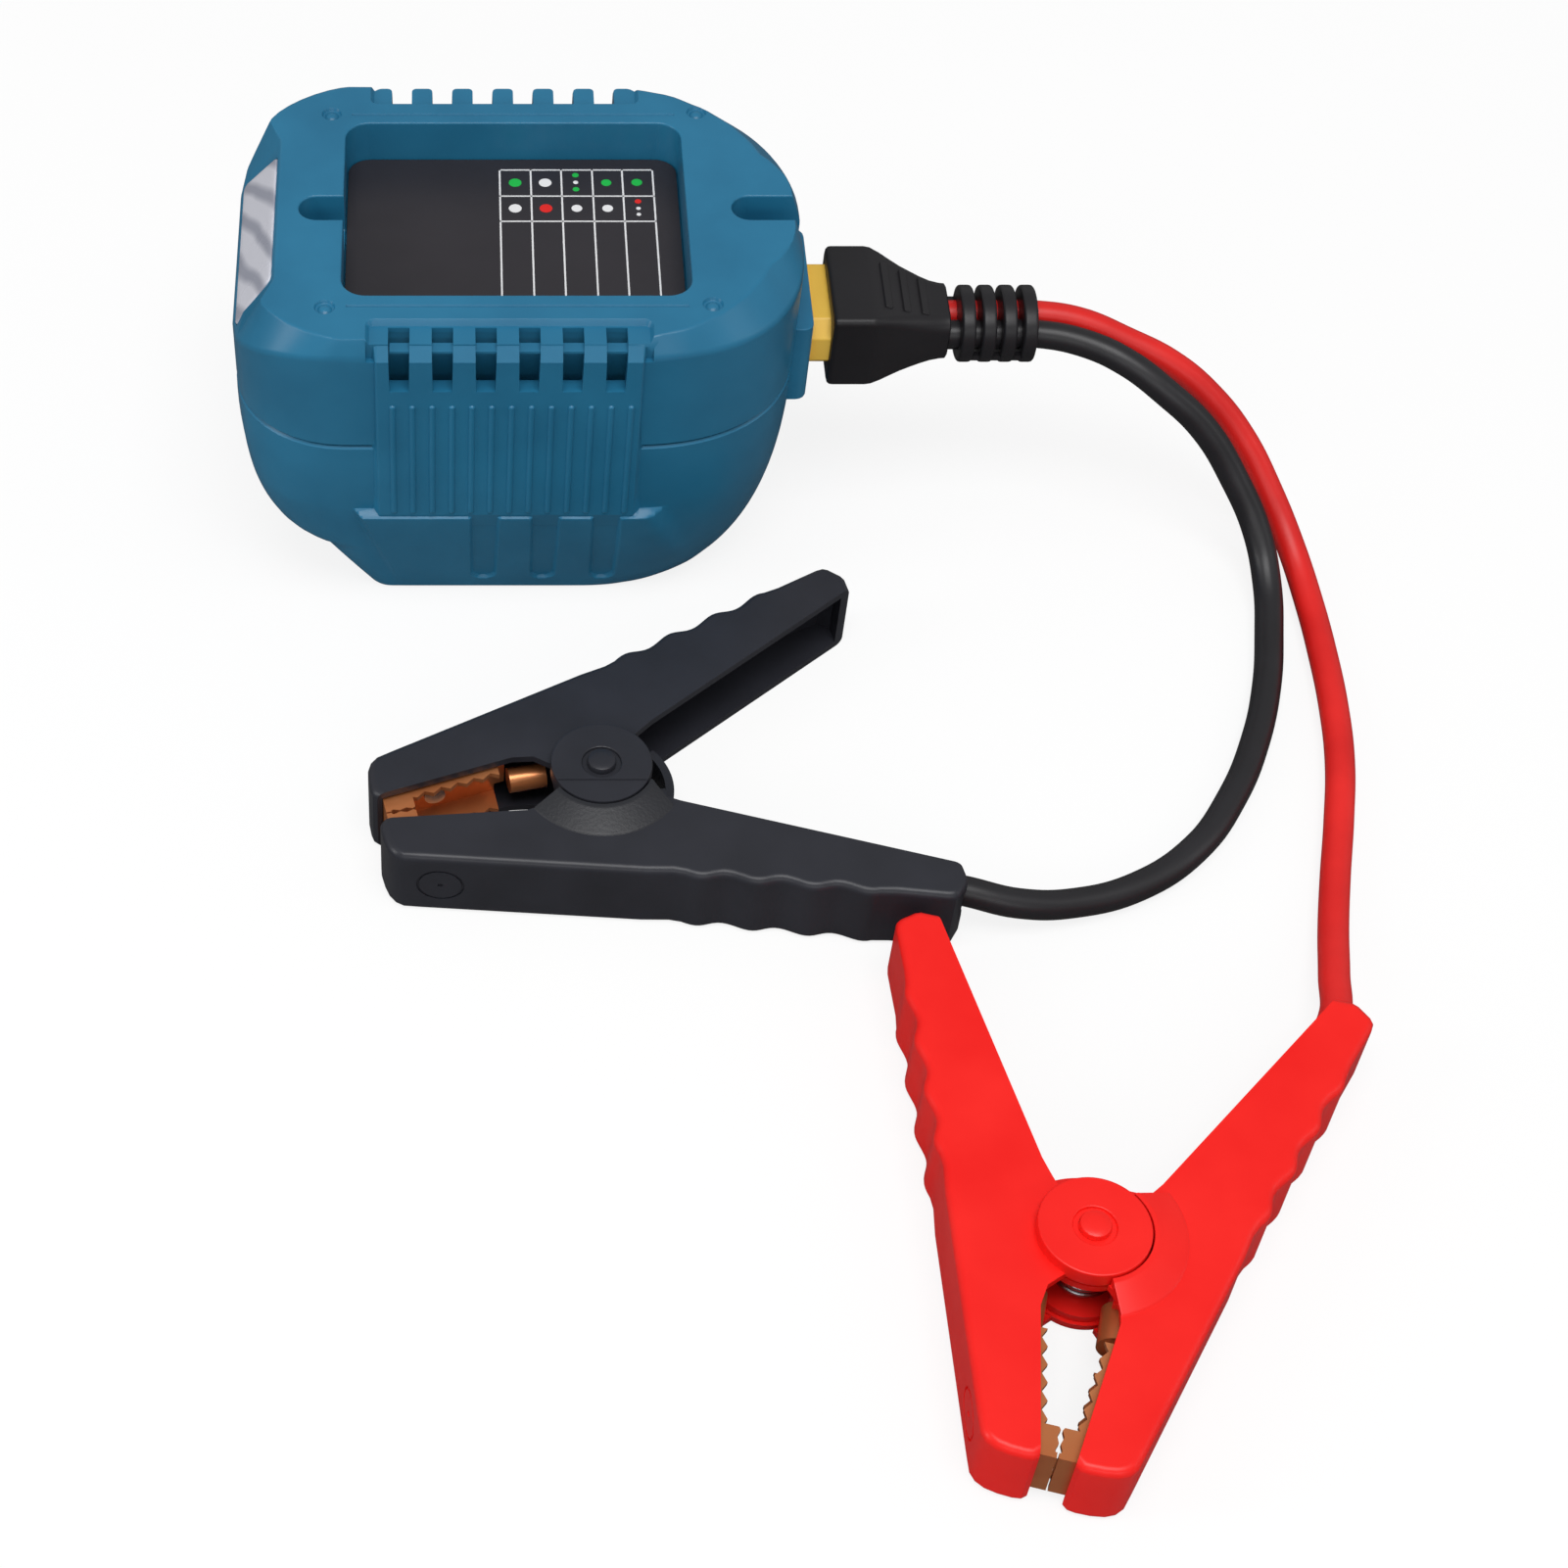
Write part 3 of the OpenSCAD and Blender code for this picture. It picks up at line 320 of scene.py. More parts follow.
def dress(form, material, body, slot, *nodes, angle=32):
    """Smooth shading with crisp edges, the material, the body it rides on and what it stands for."""
    only(form)
    bpy.ops.object.shade_smooth_by_angle(angle=math.radians(angle))
    level = form.modifiers.new("normals", "WEIGHTED_NORMAL")
    level.keep_sharp = True
    bpy.ops.object.modifier_apply(modifier=level.name)
    form.data.materials.clear()
    form.data.materials.append(material)
    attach(form, body)
    if nodes:
        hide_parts(*nodes)
    return form


def drawn_in(angle, table):
    """Depth at an angle, eased between the rows of a table of angle and depth."""
    for (a0, d0), (a1, d1) in zip(table, table[1:]):
        if angle <= a1:
            s = (angle - a0) / (a1 - a0)
            return d0 + (d1 - d0) * s * s * (3 - 2 * s)
    return table[-1][1]


arc_steps = 24
corner_angles = [18 + 9 * k for k in range(9)]


def plan(left, right, width, corner, power, radius, drawn=((0, 0), (90, 0)), tip=None):
    """Outline in plan: two cut corners on the left, two long arcs on the right."""
    front = [tip or (left, corner[1] - width)]
    for k, angle in enumerate(corner_angles):
        a = math.radians(angle if tip is None else 90 * k / (len(corner_angles) - 1))
        front.append((left + corner[0] * (1 - math.cos(a) ** (2 / power)),
                      -width + corner[1] * (1 - math.sin(a) ** (2 / power))))
    for k in range(arc_steps, -1, -1):
        a = 90 * k / arc_steps
        reach = radius - drawn_in(a, drawn)
        front.append((right - radius + reach * math.cos(math.radians(a)),
                      -(width - radius + reach * math.sin(math.radians(a)))))
    return front + [(x, -y) for x, y in reversed(front)]


def at_height(outline, z):
    """Ring of the outline's points at one height."""
    return [(point[0], point[1], z) for point in outline]


# The bevel under the top edge drops towards both ends, and it widens round the right corners.
def bevel_drop(x):
    left = max(0, (-x - 33) / (half_l - 33))
    right = max(0, (x - 30) / (half_l - 30))
    return 3.8 + 8.2 * left ** 3 + 2.2 * right


# How far the rim, the bevel's foot and the wall are drawn in round the right corners, from the
# end (0) to the side (90 degrees).
right_corner = ((0, 1.0), (7.6, 1.6), (14.9, 2.8), (23.7, 4.3), (36, 4.0), (48.7, 3.5), (61.6, 2.7),
                (75.2, 1.5), (90, 0.7))
bevel_corner = ((0, 0), (42, -0.6), (90, 0))
wall_corner = ((0, 0), (42, -1.8), (90, 0))


def shell_rings(inset):
    """Rings of the upper shell: seam, foot of the bevel, and edge of the top face."""
    seam = plan(inset - half_l, seam_right - inset, seam_half_w - inset, (21, 21), 2, end_r - inset,
                wall_corner)
    foot = plan(inset - half_l, 54.2 - inset, half_w - inset, (20, 20), 2, end_r - inset, bevel_corner)
    rim = plan(inset - 48.4, 53.2 - inset, 37.2 - inset, (15.2, 10.8), 1.45, 31.7 - inset,
               right_corner, tip=(inset - 46, -20.4 + inset * 0.5))
    return (at_height(seam, seam_z), [(x, y, body_h - inset - bevel_drop(x)) for x, y in foot],
            at_height(rim, body_h - inset))


def between(a, b, reach):
    """Point that lies a given reach from a on the way to b, for each pair of two rings."""
    moved = []
    for p, q in zip(a, b):
        p, q = Vector(p), Vector(q)
        moved.append(tuple(p + (q - p) * min(0.45, reach / max((q - p).length, 0.001))))
    return moved


def rounded(before, at, after, reach):
    """Three rings that round the edge at a ring off."""
    start, end = between(at, before, reach), between(at, after, reach)
    middle = [tuple((Vector(p) + 2 * Vector(q) + Vector(r)) / 4) for p, q, r in zip(start, at, end)]
    return [start, middle, end]


seam_ring, foot_ring, rim_ring = shell_rings(0)
inside_seam, inside_foot, inside_rim = shell_rings(wall)
top_inner_ring = [(x - 1.5 * x / half_l, y * 0.96, z) for x, y, z in rim_ring]
seam_groove = at_height(shell_rings(0.5)[0], seam_z + 0.12)
wall_start = at_height(seam_ring, seam_z + 0.6)
upper_shell = lofted("upper_shell", [seam_groove, wall_start]
                     + rounded(wall_start, foot_ring, rim_ring, 0.9)
                     + rounded(foot_ring, rim_ring, top_inner_ring, 0.5))

# The vent panel stands proud of the wall, with bevels at its top and foot and thirteen ribs.
panel_c = -2.4
panel_w = 49.5
panel_y = half_w + 0.8
panel_top = body_h - 1.2
panel_foot_z = 23.6
panel_back = -34
rib_pitch = 3.7
rib_half, rib_low, rib_high = 0.6, 27.9, 56.3
lean, lean_from, lean_to = 0.6, 67.1, 27.3
vent_pitch = 8
vent_w = 4
vent_foot = 59.8


def vent_panel(name, top_in):
    """Panel whose ends slope back to the wall; top_in is how far its top edge leans in."""
    profile = [(panel_back, panel_foot_z), (1.5 - panel_y, panel_foot_z),
               (0.6 - panel_y, panel_foot_z + 3.7), (-panel_y, panel_top - top_in * 1.17),
               (top_in - panel_y, panel_top), (panel_back, panel_top)]
    faces = [1.5 - panel_y, 1.5 - panel_y, 0.6 - panel_y, -panel_y, top_in - panel_y, top_in - panel_y]
    form = lofted(name, [[(panel_c + s * (panel_w / 2 + 1.2 * (y - face)), y, z)
                          for (y, z), face in zip(profile, faces)] for s in (-1, 1)])
    round_edges(form, 0.5, 3, lambda middle, along: middle.y < -36 and abs(along.x) < 0.5)
    return round_edges(form, 0.45, 2, lambda middle, along: abs(along.x) > 0.9 and middle.y < -35.5)


front_panel = vent_panel("front_panel", 2.3)
rear_panel = vent_panel("rear_panel", 1.3)
for i in range(13):
    x = panel_c + rib_half + (i - 6) * rib_pitch
    rib = block("rib", (x - rib_half, -panel_y - 0.45, rib_low), (x + rib_half, 1 - panel_y, rib_high))
    round_edges(rib, 0.5, 3, lambda middle, along: middle.y < -panel_y or abs(along.y) > 0.9)
    edit_all(rib)
    mesh = bmesh.from_edit_mesh(rib.data)
    for vertex in mesh.verts:
        vertex.co.y += lean * mm * (lean_from - vertex.co.z / mm) / (lean_from - lean_to)
    bmesh.update_edit_mesh(rib.data)
    bpy.ops.object.mode_set(mode="OBJECT")
    cut(front_panel, copied(rib, "rib"), operation="UNION")
    cut(rear_panel, rib, operation="UNION")
edit_all(rear_panel)
bpy.ops.transform.resize(value=(1, -1, 1), center_override=(0, 0, 0))
bpy.ops.mesh.normals_make_consistent(inside=False)
bpy.ops.object.mode_set(mode="OBJECT")
notch_half = 26.4
for side in (-1, 1):
    cut(upper_shell, block("notch", (panel_c - notch_half, side * 37.3, 66.4),
                           (panel_c + notch_half, side * 45, body_h + 1)))
for panel in (front_panel, rear_panel):
    cut(upper_shell, part_at(copied(panel, "upper_half"), seam_z, True), operation="UNION")

# Boss round the output socket.
boss_x = 56.7
boss = block("boss", (42.5, -15, 35.5), (boss_x, 15, 53.5))
round_edges(boss, 2.2, 4, lambda middle, along: middle.x > 50 and abs(along.y) < 0.1)
round_edges(boss, 0.8, 3, lambda middle, along: middle.x > 50
            and (middle.x > boss_x - 0.1 or middle.z > 53))
cut(upper_shell, part_at(copied(boss, "upper_boss"), seam_z, True), operation="UNION")

# The inside, which leaves the walls of the recess and slots, the vent baffles and the screw posts.
hollow = lofted("hollow", [at_height(inside_seam, seam_z - 1), inside_foot, inside_rim])


def rounded_outline(centre, size, radius, grow=0, steps=8):
    """Rectangle with round corners; grow moves its edge out all round."""
    points = []
    for q in range(4):
        sx = 1 if q in (0, 3) else -1
        sy = 1 if q < 2 else -1
        for i in range(steps + 1):
            a = math.radians(90 * q + 90 * i / steps)
            points.append((centre[0] + sx * (size[0] / 2 - radius) + (radius + grow) * math.cos(a),
                           centre[1] + sy * (size[1] / 2 - radius) + (radius + grow) * math.sin(a)))
    return points


def rounded_plate(name, centre, size, radius, levels):
    """Plate with round corners through levels of (height, growth)."""
    return lofted(name, [at_height(rounded_outline(centre, size, radius, grow), z) for z, grow in levels])


recess_c = (-0.9, 0.3)
recess_size = (65.2, 50.6)
slot_w = 6.9
cut(hollow, rounded_plate("recess_walls", recess_c, [side + 2 * wall for side in recess_size], 6.2,
                          [(recess_z - wall, 0), (body_h + 2, 0)]),
    block("left_slot_walls", (-44.3, -5.8, recess_z - wall), (-33, 5.8, body_h)),
    block("right_slot_walls", (35, -5.8, recess_z - wall), (60, 5.8, body_h)))
screw_x, screw_y = 27, 19


def leave_posts(form, low_z, high_z):
    """Leaves the four screw posts standing in the inside."""
    for x in (-screw_x, screw_x):
        for y in (-screw_y, screw_y):
            cut(form, rounded_plate("post", (x, y), (7.2, 7.2), 3.59, [(low_z, 0), (high_z, 0)]))


leave_posts(hollow, seam_z - 2, recess_z - 2)
for side in (-1, 1):
    cut(hollow, block("baffle", (panel_c - 25, side * 31.3, 49), (panel_c + 25, side * 32.7, body_h)))
cut(upper_shell, hollow)


def circle(centre, radius, sides):
    """Points round a circle."""
    return [(centre[0] + radius * math.cos(2 * math.pi * i / sides),
             centre[1] + radius * math.sin(2 * math.pi * i / sides)) for i in range(sides)]


def lathed(name, centre, profile, sides=28):
    """Solid of revolution about an upright axis, from rows of (radius, height)."""
    return lofted(name, [at_height(circle(centre, radius, sides), z) for radius, z in profile])


# Recess with a rounded rim, strap slots, dimples and the two fine lines beside the recess.
rim_flare = [(body_h - 0.45, 0), (body_h - 0.2, 0.08), (body_h - 0.07, 0.2), (body_h, 0.42),
             (body_h + 1, 0.6)]
slot_z = recess_z + 1
recess_floor = [(recess_z, -0.5), (recess_z + 0.15, -0.15), (recess_z + 0.5, 0)]
cut(upper_shell, rounded_plate("recess", recess_c, recess_size, 4.6, recess_floor + rim_flare))
for name, low_x, high_x in (("left_slot", -42, -20), ("right_slot", 40.4, 70)):
    size = (high_x - low_x, slot_w)
    cut(upper_shell, rounded_plate(name, ((low_x + high_x) / 2, 0), size, slot_w / 2 - 0.05,
                                   [(slot_z, -0.3), (slot_z + 0.3, 0)] + rim_flare))
for x, y in ((-36.4, 28.4), (35.2, 28.9), (-36.4, -28.4), (35.2, -27.6)):
    cut(upper_shell, lathed("dimple", (x, y), [
        (2.15, body_h + 0.2), (1.95, body_h - 0.05), (1.75, body_h - 0.6), (1.35, body_h - 0.75),
        (1.1, body_h - 0.5), (0.7, body_h - 0.28), (0.2, body_h - 0.2)]))
for y in (-28.1, 28.2):
    cut(upper_shell, lofted("fine_line", [[(x, y - 0.4, body_h + 0.05), (x, y, body_h - 0.5),
                                           (x, y + 0.4, body_h + 0.05)] for x in (-32.5, 30.8)]))

# The top steps down to each vent panel, and six slots run down through it: plain ones in front,
# crossed by a fin, and behind them ones that flare to the wall, which rounds the teeth between.
def front_vent(x):
    """Rings of a front slot round an x."""
    return [[(x - w, -32.75, z), (x + w, -32.75, z), (x + w, -43, z), (x - w, -43, z)]
            for z, w in ((vent_foot, vent_w / 2 - 0.2), (body_h + 1, vent_w / 2))]


def rear_vent(x):
    """Rings of a rear slot, wider where it meets the wall."""
    rings = []
    for z, face in ((vent_foot, panel_y), (panel_top - 1.5, panel_y), (panel_top, panel_y - 1.3),
                    (body_h + 1, panel_y - 1.3)):
        w = vent_w / 2 - 0.2 + 0.2 * (z - vent_foot) / 11
        half = [(w, 32.75), (w, face - 0.95), (w + 0.08, face - 0.6), (w + 0.28, face - 0.28),
                (w + 0.6, face - 0.08), (w + 0.95, face), (w + 0.95, face + 4)]
        rings.append([(x + u, v, z) for u, v in half] + [(x - u, v, z) for u, v in reversed(half)])
    return rings


for side, vent in ((-1, front_vent), (1, rear_vent)):
    cut(upper_shell, rounded_plate("step", (panel_c, side * 51.6), (53, 40), 1.6,
                                   [(panel_top, -0.75), (panel_top + 0.25, -0.6), (body_h - 0.1, -0.12),
                                    (body_h + 0.03, 0.1), (body_h + 1, 0.2)]))
    for i in range(6):
        cut(upper_shell, lofted("vent", vent(panel_c - 0.3 + (i - 2.5) * vent_pitch)))
cut(upper_shell, block("fin", (panel_c - 22, -37.6, 67.8), (panel_c + 22, -35.2, 68.3)), operation="UNION")

# Window and pocket of the lamp, on a plane that leans back from the left end to the top.
lamp_run, lamp_rise = 8.5, 12
slope = Vector((lamp_run, 0, lamp_rise)).normalized()
lamp_len = math.hypot(lamp_run, lamp_rise)


def on_lamp(u, v, w):
    """Point at u up the window's plane, v along it and w out of it."""
    return (slope.x * u - half_l - slope.z * w, v, slope.z * u + body_h - lamp_rise + slope.x * w)


def lamp_plate(name, low_u, high_u, low_ends, high_ends, levels, radius=1.2):
    """Plate on the window's plane; its ends differ at its lower and upper edge."""
    rings = []
    for w, grow in levels:
        ring = []
        for u, v, su, sv in ((low_u, low_ends[0], -1, -1), (high_u, high_ends[0], 1, -1),
                             (high_u, high_ends[1], 1, 1), (low_u, low_ends[1], -1, 1)):
            for a in (0, 30, 60, 90):
                a = math.radians(a if su == sv else 90 - a)
                ring.append(on_lamp(u + su * (grow - radius + radius * math.cos(a)),
                                    v + sv * (grow - radius + radius * math.sin(a)), w))
        rings.append(ring)
    return lofted(name, rings)


lens_low, lens_high = (-21.4, 19.2), (-19.6, 16.6)
cut(upper_shell,
    lamp_plate("window", 1.3, lamp_len - 1.3, lens_low, lens_high,
               [(-1.9, 0.12), (-0.2, 0.12), (0.4, 0.5), (6, 0.6)]),
    lamp_plate("pocket", 2.3, lamp_len - 2.6, (-15.3, 15.3), (-15.3, 15.3), [(-5.9, 0), (1, 0)], 0.5))
socket_depth = 16
socket_hole = block("socket_hole", (boss_x - socket_depth, -12, seam_z - 7), (boss_x + 1, 12, seam_z + 7))
cut(upper_shell, copied(socket_hole, "upper_socket_hole"))


def crisp(form, width=0.28, angle=34):
    """Cleans up after the cuts and rounds every sharp edge a little."""
    edit_all(form)
    bpy.ops.mesh.remove_doubles(threshold=0.00001)
    bpy.ops.mesh.dissolve_degenerate(threshold=0.00001)
    bpy.ops.mesh.dissolve_limited(angle_limit=math.radians(0.3))
    bpy.ops.object.mode_set(mode="OBJECT")
    step = form.modifiers.new("edges", "BEVEL")
    step.width = width * mm
    step.segments = 2
    step.limit_method = "ANGLE"
    step.angle_limit = math.radians(angle)
    step.use_clamp_overlap = True
    bpy.ops.object.modifier_apply(modifier=step.name)
    return form


dress(crisp(upper_shell), teal, "housing", "teal_shell", "top_housing")

# Lower shell: the same nylon. It curves in to the foot, carries the lower half of the vent panels
# and a raised pad with three flutes in front, and has the battery bay open below and to the left.
shoulder_x, shoulder_z, foot_x, base_right = -40.3, 14.5, -28.5, 37
base_half_w = 32
flute_x, flute_pitch = 5.3, 11.8
straight_to = 22
round_steps = 34


def pad_edge(z):
    """X of the raised pad's left edge."""
    return -32.2 + 8 * max(0, 27.6 - z) / 25.6


def walls_at(z, power):
    """Left and right end, half width and bulge of the lower shell's outline at a height."""
    share_down = 1 - z / seam_z
    bulge = (1 - share_down ** power) ** (1 / power)
    if z >= shoulder_z:
        flank = math.sqrt(1 - ((seam_z - z) / (seam_z - shoulder_z)) ** 2)
        left = shoulder_x - (half_l + shoulder_x) * flank
    else:
        left = foot_x + (shoulder_x - foot_x) * z / shoulder_z
    width = seam_half_w - (seam_half_w - base_half_w) * share_down ** 2.2
    return left, base_right + (seam_right - base_right) * bulge, width, bulge


def level_plan(z):
    """Outline of the lower shell at a height, with close points along the front and rear."""
    left, right, width, bulge = walls_at(z, 2.4)
    edge = pad_edge(z) - 1.2
    corner = (edge - left, 3 + 18 * z / seam_z)
    radius = end_r - 6 * (1 - bulge)
    if z < 1:
        inset = 0.9 * (1 - math.sqrt(1 - (1 - z) ** 2))
        left, right, width = left + inset, right - inset, width - inset
    side = plan(left, right, width, corner, 2, radius)[:1 + len(corner_angles)]
    close = [edge + d for d in (0.6, 1.2, 1.8, 2.4, 3, 4)] + [-19, -16, -13, -11]
    for i in (-1, 0, 1):
        close += [flute_x + flute_pitch * i + d
                  for d in (-3.3, -2.9, -2.6, -2.3, -2, -1.6, -1, 0, 1, 1.6, 2, 2.3, 2.6, 2.9, 3.3)]
    middle = right - radius
    for x in close + [straight_to]:
        a = math.acos(max(0, x - middle) / radius)
        side.append((x, radius - width - (radius - drawn_in(math.degrees(a), wall_corner)) * math.sin(a)))
    start = math.acos((straight_to - middle) / radius)
    for k in range(1, round_steps + 1):
        a = start * (1 - k / round_steps)
        reach = radius - drawn_in(math.degrees(a), wall_corner)
        side.append((middle + reach * math.cos(a), radius - width - reach * math.sin(a)))
    return side


def smooth(t):
    """Eased step from 0 to 1."""
    t = min(1, max(0, t))
    return t * t * (3 - 2 * t)


def right_of(x, z, a, b):
    """Distance to the right of the line from a down to b."""
    dx, dz = b[0] - a[0], b[1] - a[1]
    return ((z - a[1]) * dx - (x - a[0]) * dz) / math.hypot(dx, dz)


def relief(x, z):
    """How far the raised pad and its flutes move the front of the lower shell out."""
    edge = min(smooth((x - pad_edge(z)) / 1.8), smooth((27.7 - z) / 1.5),
               smooth(right_of(x, z, (34, 14), (28.3, 27.6)) / 3.8))
    raised = 2 * (z / 27) ** 1.1 * (1 - smooth((x - 38) / 14))
    flutes = 0
    for i in (-1, 0, 1):
        off = abs(x - flute_x - flute_pitch * i)
        half = 2.25 + 0.012 * (z - 5)
        if z < 4.2 + half:
            off = math.hypot(off, z - 4.2 - half)
        flutes = max(flutes, smooth((half + 0.45 - off) / 0.75))
    return raised * edge - 0.85 * flutes * smooth((27.5 - z) / 1.6)


first_moved = 4


def level_ring(z):
    """Whole outline at a height, with the pad and flutes; the left end's first points stay."""
    half = level_plan(z)
    moved = []
    for k, (x, y) in enumerate(half):
        ahead, behind = half[min(k + 1, len(half) - 1)], half[max(k - 1, 0)]
        tangent = Vector((ahead[0] - behind[0], ahead[1] - behind[1])).normalized()
        out = relief(x, z) if k > first_moved else 0
        moved.append((x + tangent.y * out, y - tangent.x * out))
    return at_height(moved + [(x, -y) for x, y in reversed(moved)], z)


levels = [0.0, 0.08, 0.3, 0.65, 1.0, 1.8, 2.6, 3.2]
levels += [3.6 + 0.3 * k for k in range(13)] + [8 + 0.9 * k for k in range(19)]
levels += [24.8 + 0.4 * k for k in range(10)] + [29.5, 31.5, 34, 36.5, 39, 41.5, 43.9]
lower_shell = lofted("lower_shell", [level_ring(z) for z in levels]
                     + [at_height([(x * 0.993, y * 0.988) for x, y, z in level_ring(44.4)], 44.38)])
for panel in (front_panel, rear_panel):
    cut(lower_shell, part_at(panel, seam_z, False), operation="UNION")
cut(lower_shell, part_at(boss, seam_z, False), operation="UNION")


def inner_ring(z):
    """Outline of the inside at a height."""
    left, right, width, bulge = walls_at(z, 2)
    share_up = z / seam_z
    return at_height(plan(left + 3.2, right - wall, width - 2.6, (7 + 14 * share_up, 3 + 18 * share_up), 2,
                          30 - 6 * (1 - bulge)), z)


lower_hollow = lofted("lower_hollow", [inner_ring(z) for z in (2.4, 6, 10, 14.4, 18, 22, 27, 33, 39, 44)]
                      + [at_height(inner_ring(44), 46)])
cut(lower_hollow, block("bay_walls", (-60, -30.4, -1), (26.4, 30.4, 22.4)))
leave_posts(lower_hollow, 20, 46)
cut(lower_shell, lower_hollow, socket_hole)
cut(lower_shell, block("bay", (-60, -28, -1), (24, 28, 20)))
for side in (-1, 1):
    cut(lower_shell, block("rail", (-30, side * 24.5, 3), (20, side * 28.5, 6)), operation="UNION")
    for x in (-screw_x, screw_x):
        cut(lower_shell, lathed("screw_well", (x, side * screw_y),
                                [(3, 18), (3, seam_z - 5), (1.7, seam_z - 5), (1.7, 50)]))
cut(lower_shell, block("blade_slot", (-4, -18, 19), (-0.5, 18, 24)))
dress(crisp(lower_shell), teal, "housing", "teal_shell", "bottom_housing")

# Label plate: black anodised sheet glued in the recess, screen printed with a plain chart of rows,
# columns and coloured dots. The ink stands up a few hundredths of a millimetre.
plate_top = recess_z + 0.8
black_sheet = finish("black_label_sheet", "2E2B30", "29262B", 0.42, grain_scale=2200)
plate = rounded_plate("label_sheet", recess_c, (64.6, 50), 4.3,
                      [(recess_z, 0), (plate_top - 0.12, 0), (plate_top - 0.03, -0.04), (plate_top, -0.14)])
dress(plate, black_sheet, "housing", "label", "label_plate")


def joined(name, forms):
    """One piece out of several."""
    bpy.ops.object.select_all(action="DESELECT")
    for form in forms:
        form.select_set(True)
    bpy.context.view_layer.objects.active = forms[0]
    bpy.ops.object.join()
    forms[0].name = name
    return forms[0]


def dot(x, y, radius):
    """Printed dot."""
    top = plate_top + 0.04
    rows = [(radius, plate_top - 0.1), (radius, top - 0.01), (radius - 0.05, top)]
    return lathed("dot", (x, y), rows, 24)


def line(x0, y0, x1, y1):
    """Printed line of the chart."""
    half = 0.17
    return block("line", (x0 - half, y0 - half, plate_top - 0.1), (x1 + half, y1 + half, plate_top + 0.03))


chart = [line(x, -22.5, x, 22) for x in (-3.4, 2.7, 8.7, 14.8, 20.7, 26.7)]
chart += [line(-3.4, y, 26.7, y) for y in (-22.5, 6.4, 14, 22)]
chart += [dot(5.5, 18.1, 1.25), dot(11.5, 18.2, 0.5), dot(-0.5, 10.3, 1.25), dot(11.5, 10.3, 1.05),
          dot(17.5, 10.3, 1.05), dot(23.5, 10.3, 0.45), dot(23.5, 8.5, 0.45)]
dress(joined("label_lines", chart), finish("white_ink", "F1F1F2", "E9E9EB", 0.5), "housing", "label")
green_dots = [dot(-0.4, 18.1, 1.25), dot(11.5, 20.4, 0.65), dot(11.5, 16.1, 0.65), dot(17.5, 18.1, 1.0),
              dot(23.5, 18.2, 1.05)]
dress(joined("label_green_dots", green_dots),
      finish("green_ink", "1FC24E", "17B545", 0.5), "housing", "label")
dress(joined("label_red_dots", [dot(5.5, 10.3, 1.25), dot(23.5, 12.4, 0.65)]),
      finish("red_ink", "E8231C", "DB1A15", 0.5), "housing", "label")

# Lamp lens: frosted polycarbonate snapped into the left end. Its inner face carries wavy light-spreading
# bands that show through as soft grey streaks.
lens = lamp_plate("lens", 1.3, lamp_len - 1.3, lens_low, lens_high,
                  [(-1.8, 0), (-0.1, 0), (0.12, -0.12), (0.22, -0.45), (0.26, -1.6)])
frosted = finish("frosted_lens", "CFD1DB", "C3C5D0", 0.28, grain=0.05, Coat_Weight=0.5)
tree = frosted.node_tree
place = node(tree, "ShaderNodeTexCoord")
turned = node(tree, "ShaderNodeMapping", Rotation=(0.3, 0.2, 1.0), Scale=(150, 75, 60))
bands = node(tree, "ShaderNodeTexWave", Scale=0.55, Distortion=5.5, Detail=2.5, Detail_Scale=0.6)
bands.bands_direction = "Y"
tones = node(tree, "ShaderNodeValToRGB")
for stop, code, position in zip(tones.color_ramp.elements, ("A3A6B4", "DDDEE8"), (0.05, 0.6)):
    stop.color = srgb(code)
    stop.position = position
wired(tree, (place, "Object", turned, "Vector"), (turned, "Vector", bands, "Vector"),
      (bands, "Fac", tones, "Fac"), (tones, "Color", tree.nodes["Principled BSDF"], "Base Color"))
dress(lens, frosted, "housing", "lamp_lens", "lamp_lens")

# Plug: yellow glass-filled nylon body with chamfered corners and two round bores for its contacts.
# It sits half in the socket and half in its cover.
plug_yellow = finish("yellow_nylon", "F9CF58", "F2C24A", 0.38)
plug_z = 44.5
contact_y = 5.45


def swept(name, sections):
    """Solid through upright sections; each is x and its points (y, z)."""
    return lofted(name, [[(x, y, z) for y, z in points] for x, points in sections])


def round_hole(name, y, z, radius, low_x, high_x):
    """Level bore along x."""
    return swept(name, [(x, circle((y, z), radius, 32)) for x in (low_x, high_x)])


def plug_section(grow):
    """Section of the plug's body, chamfered at its corners."""
    w, h = 10.4 + grow, 5.4 + grow
    return [(-w, plug_z - h + 2.4), (-w, plug_z + h - 3), (3 - w, plug_z + h), (w - 2, plug_z + h),
            (w, plug_z + h - 2), (w, plug_z - h + 2), (w - 2, plug_z - h), (2.4 - w, plug_z - h)]


plug = swept("plug", [(47.7, plug_section(-0.5)), (48.2, plug_section(0)), (68.7, plug_section(0))])
for y in (-contact_y, contact_y):
    cut(plug, round_hole("bore", y, plug_z, 3, 40, 75))
dress(crisp(plug, 0.4), plug_yellow, "lead_set", "plug_shell", "plug_shell")

# Plug cover: black rubber moulded over the plug, with three finger bars and a waist that narrows
# to the strain relief.
black_rubber = finish("black_rubber", "232225", "1E1D20", 0.4, grain=0.22, grain_scale=900,
                      Specular_IOR_Level=0.35)


def rounded_section(half_y, low, high, radius):
    """Upright section with round corners, as points (y, z)."""
    return rounded_outline((0, (low + high) / 2), (2 * half_y, high - low), radius, steps=6)


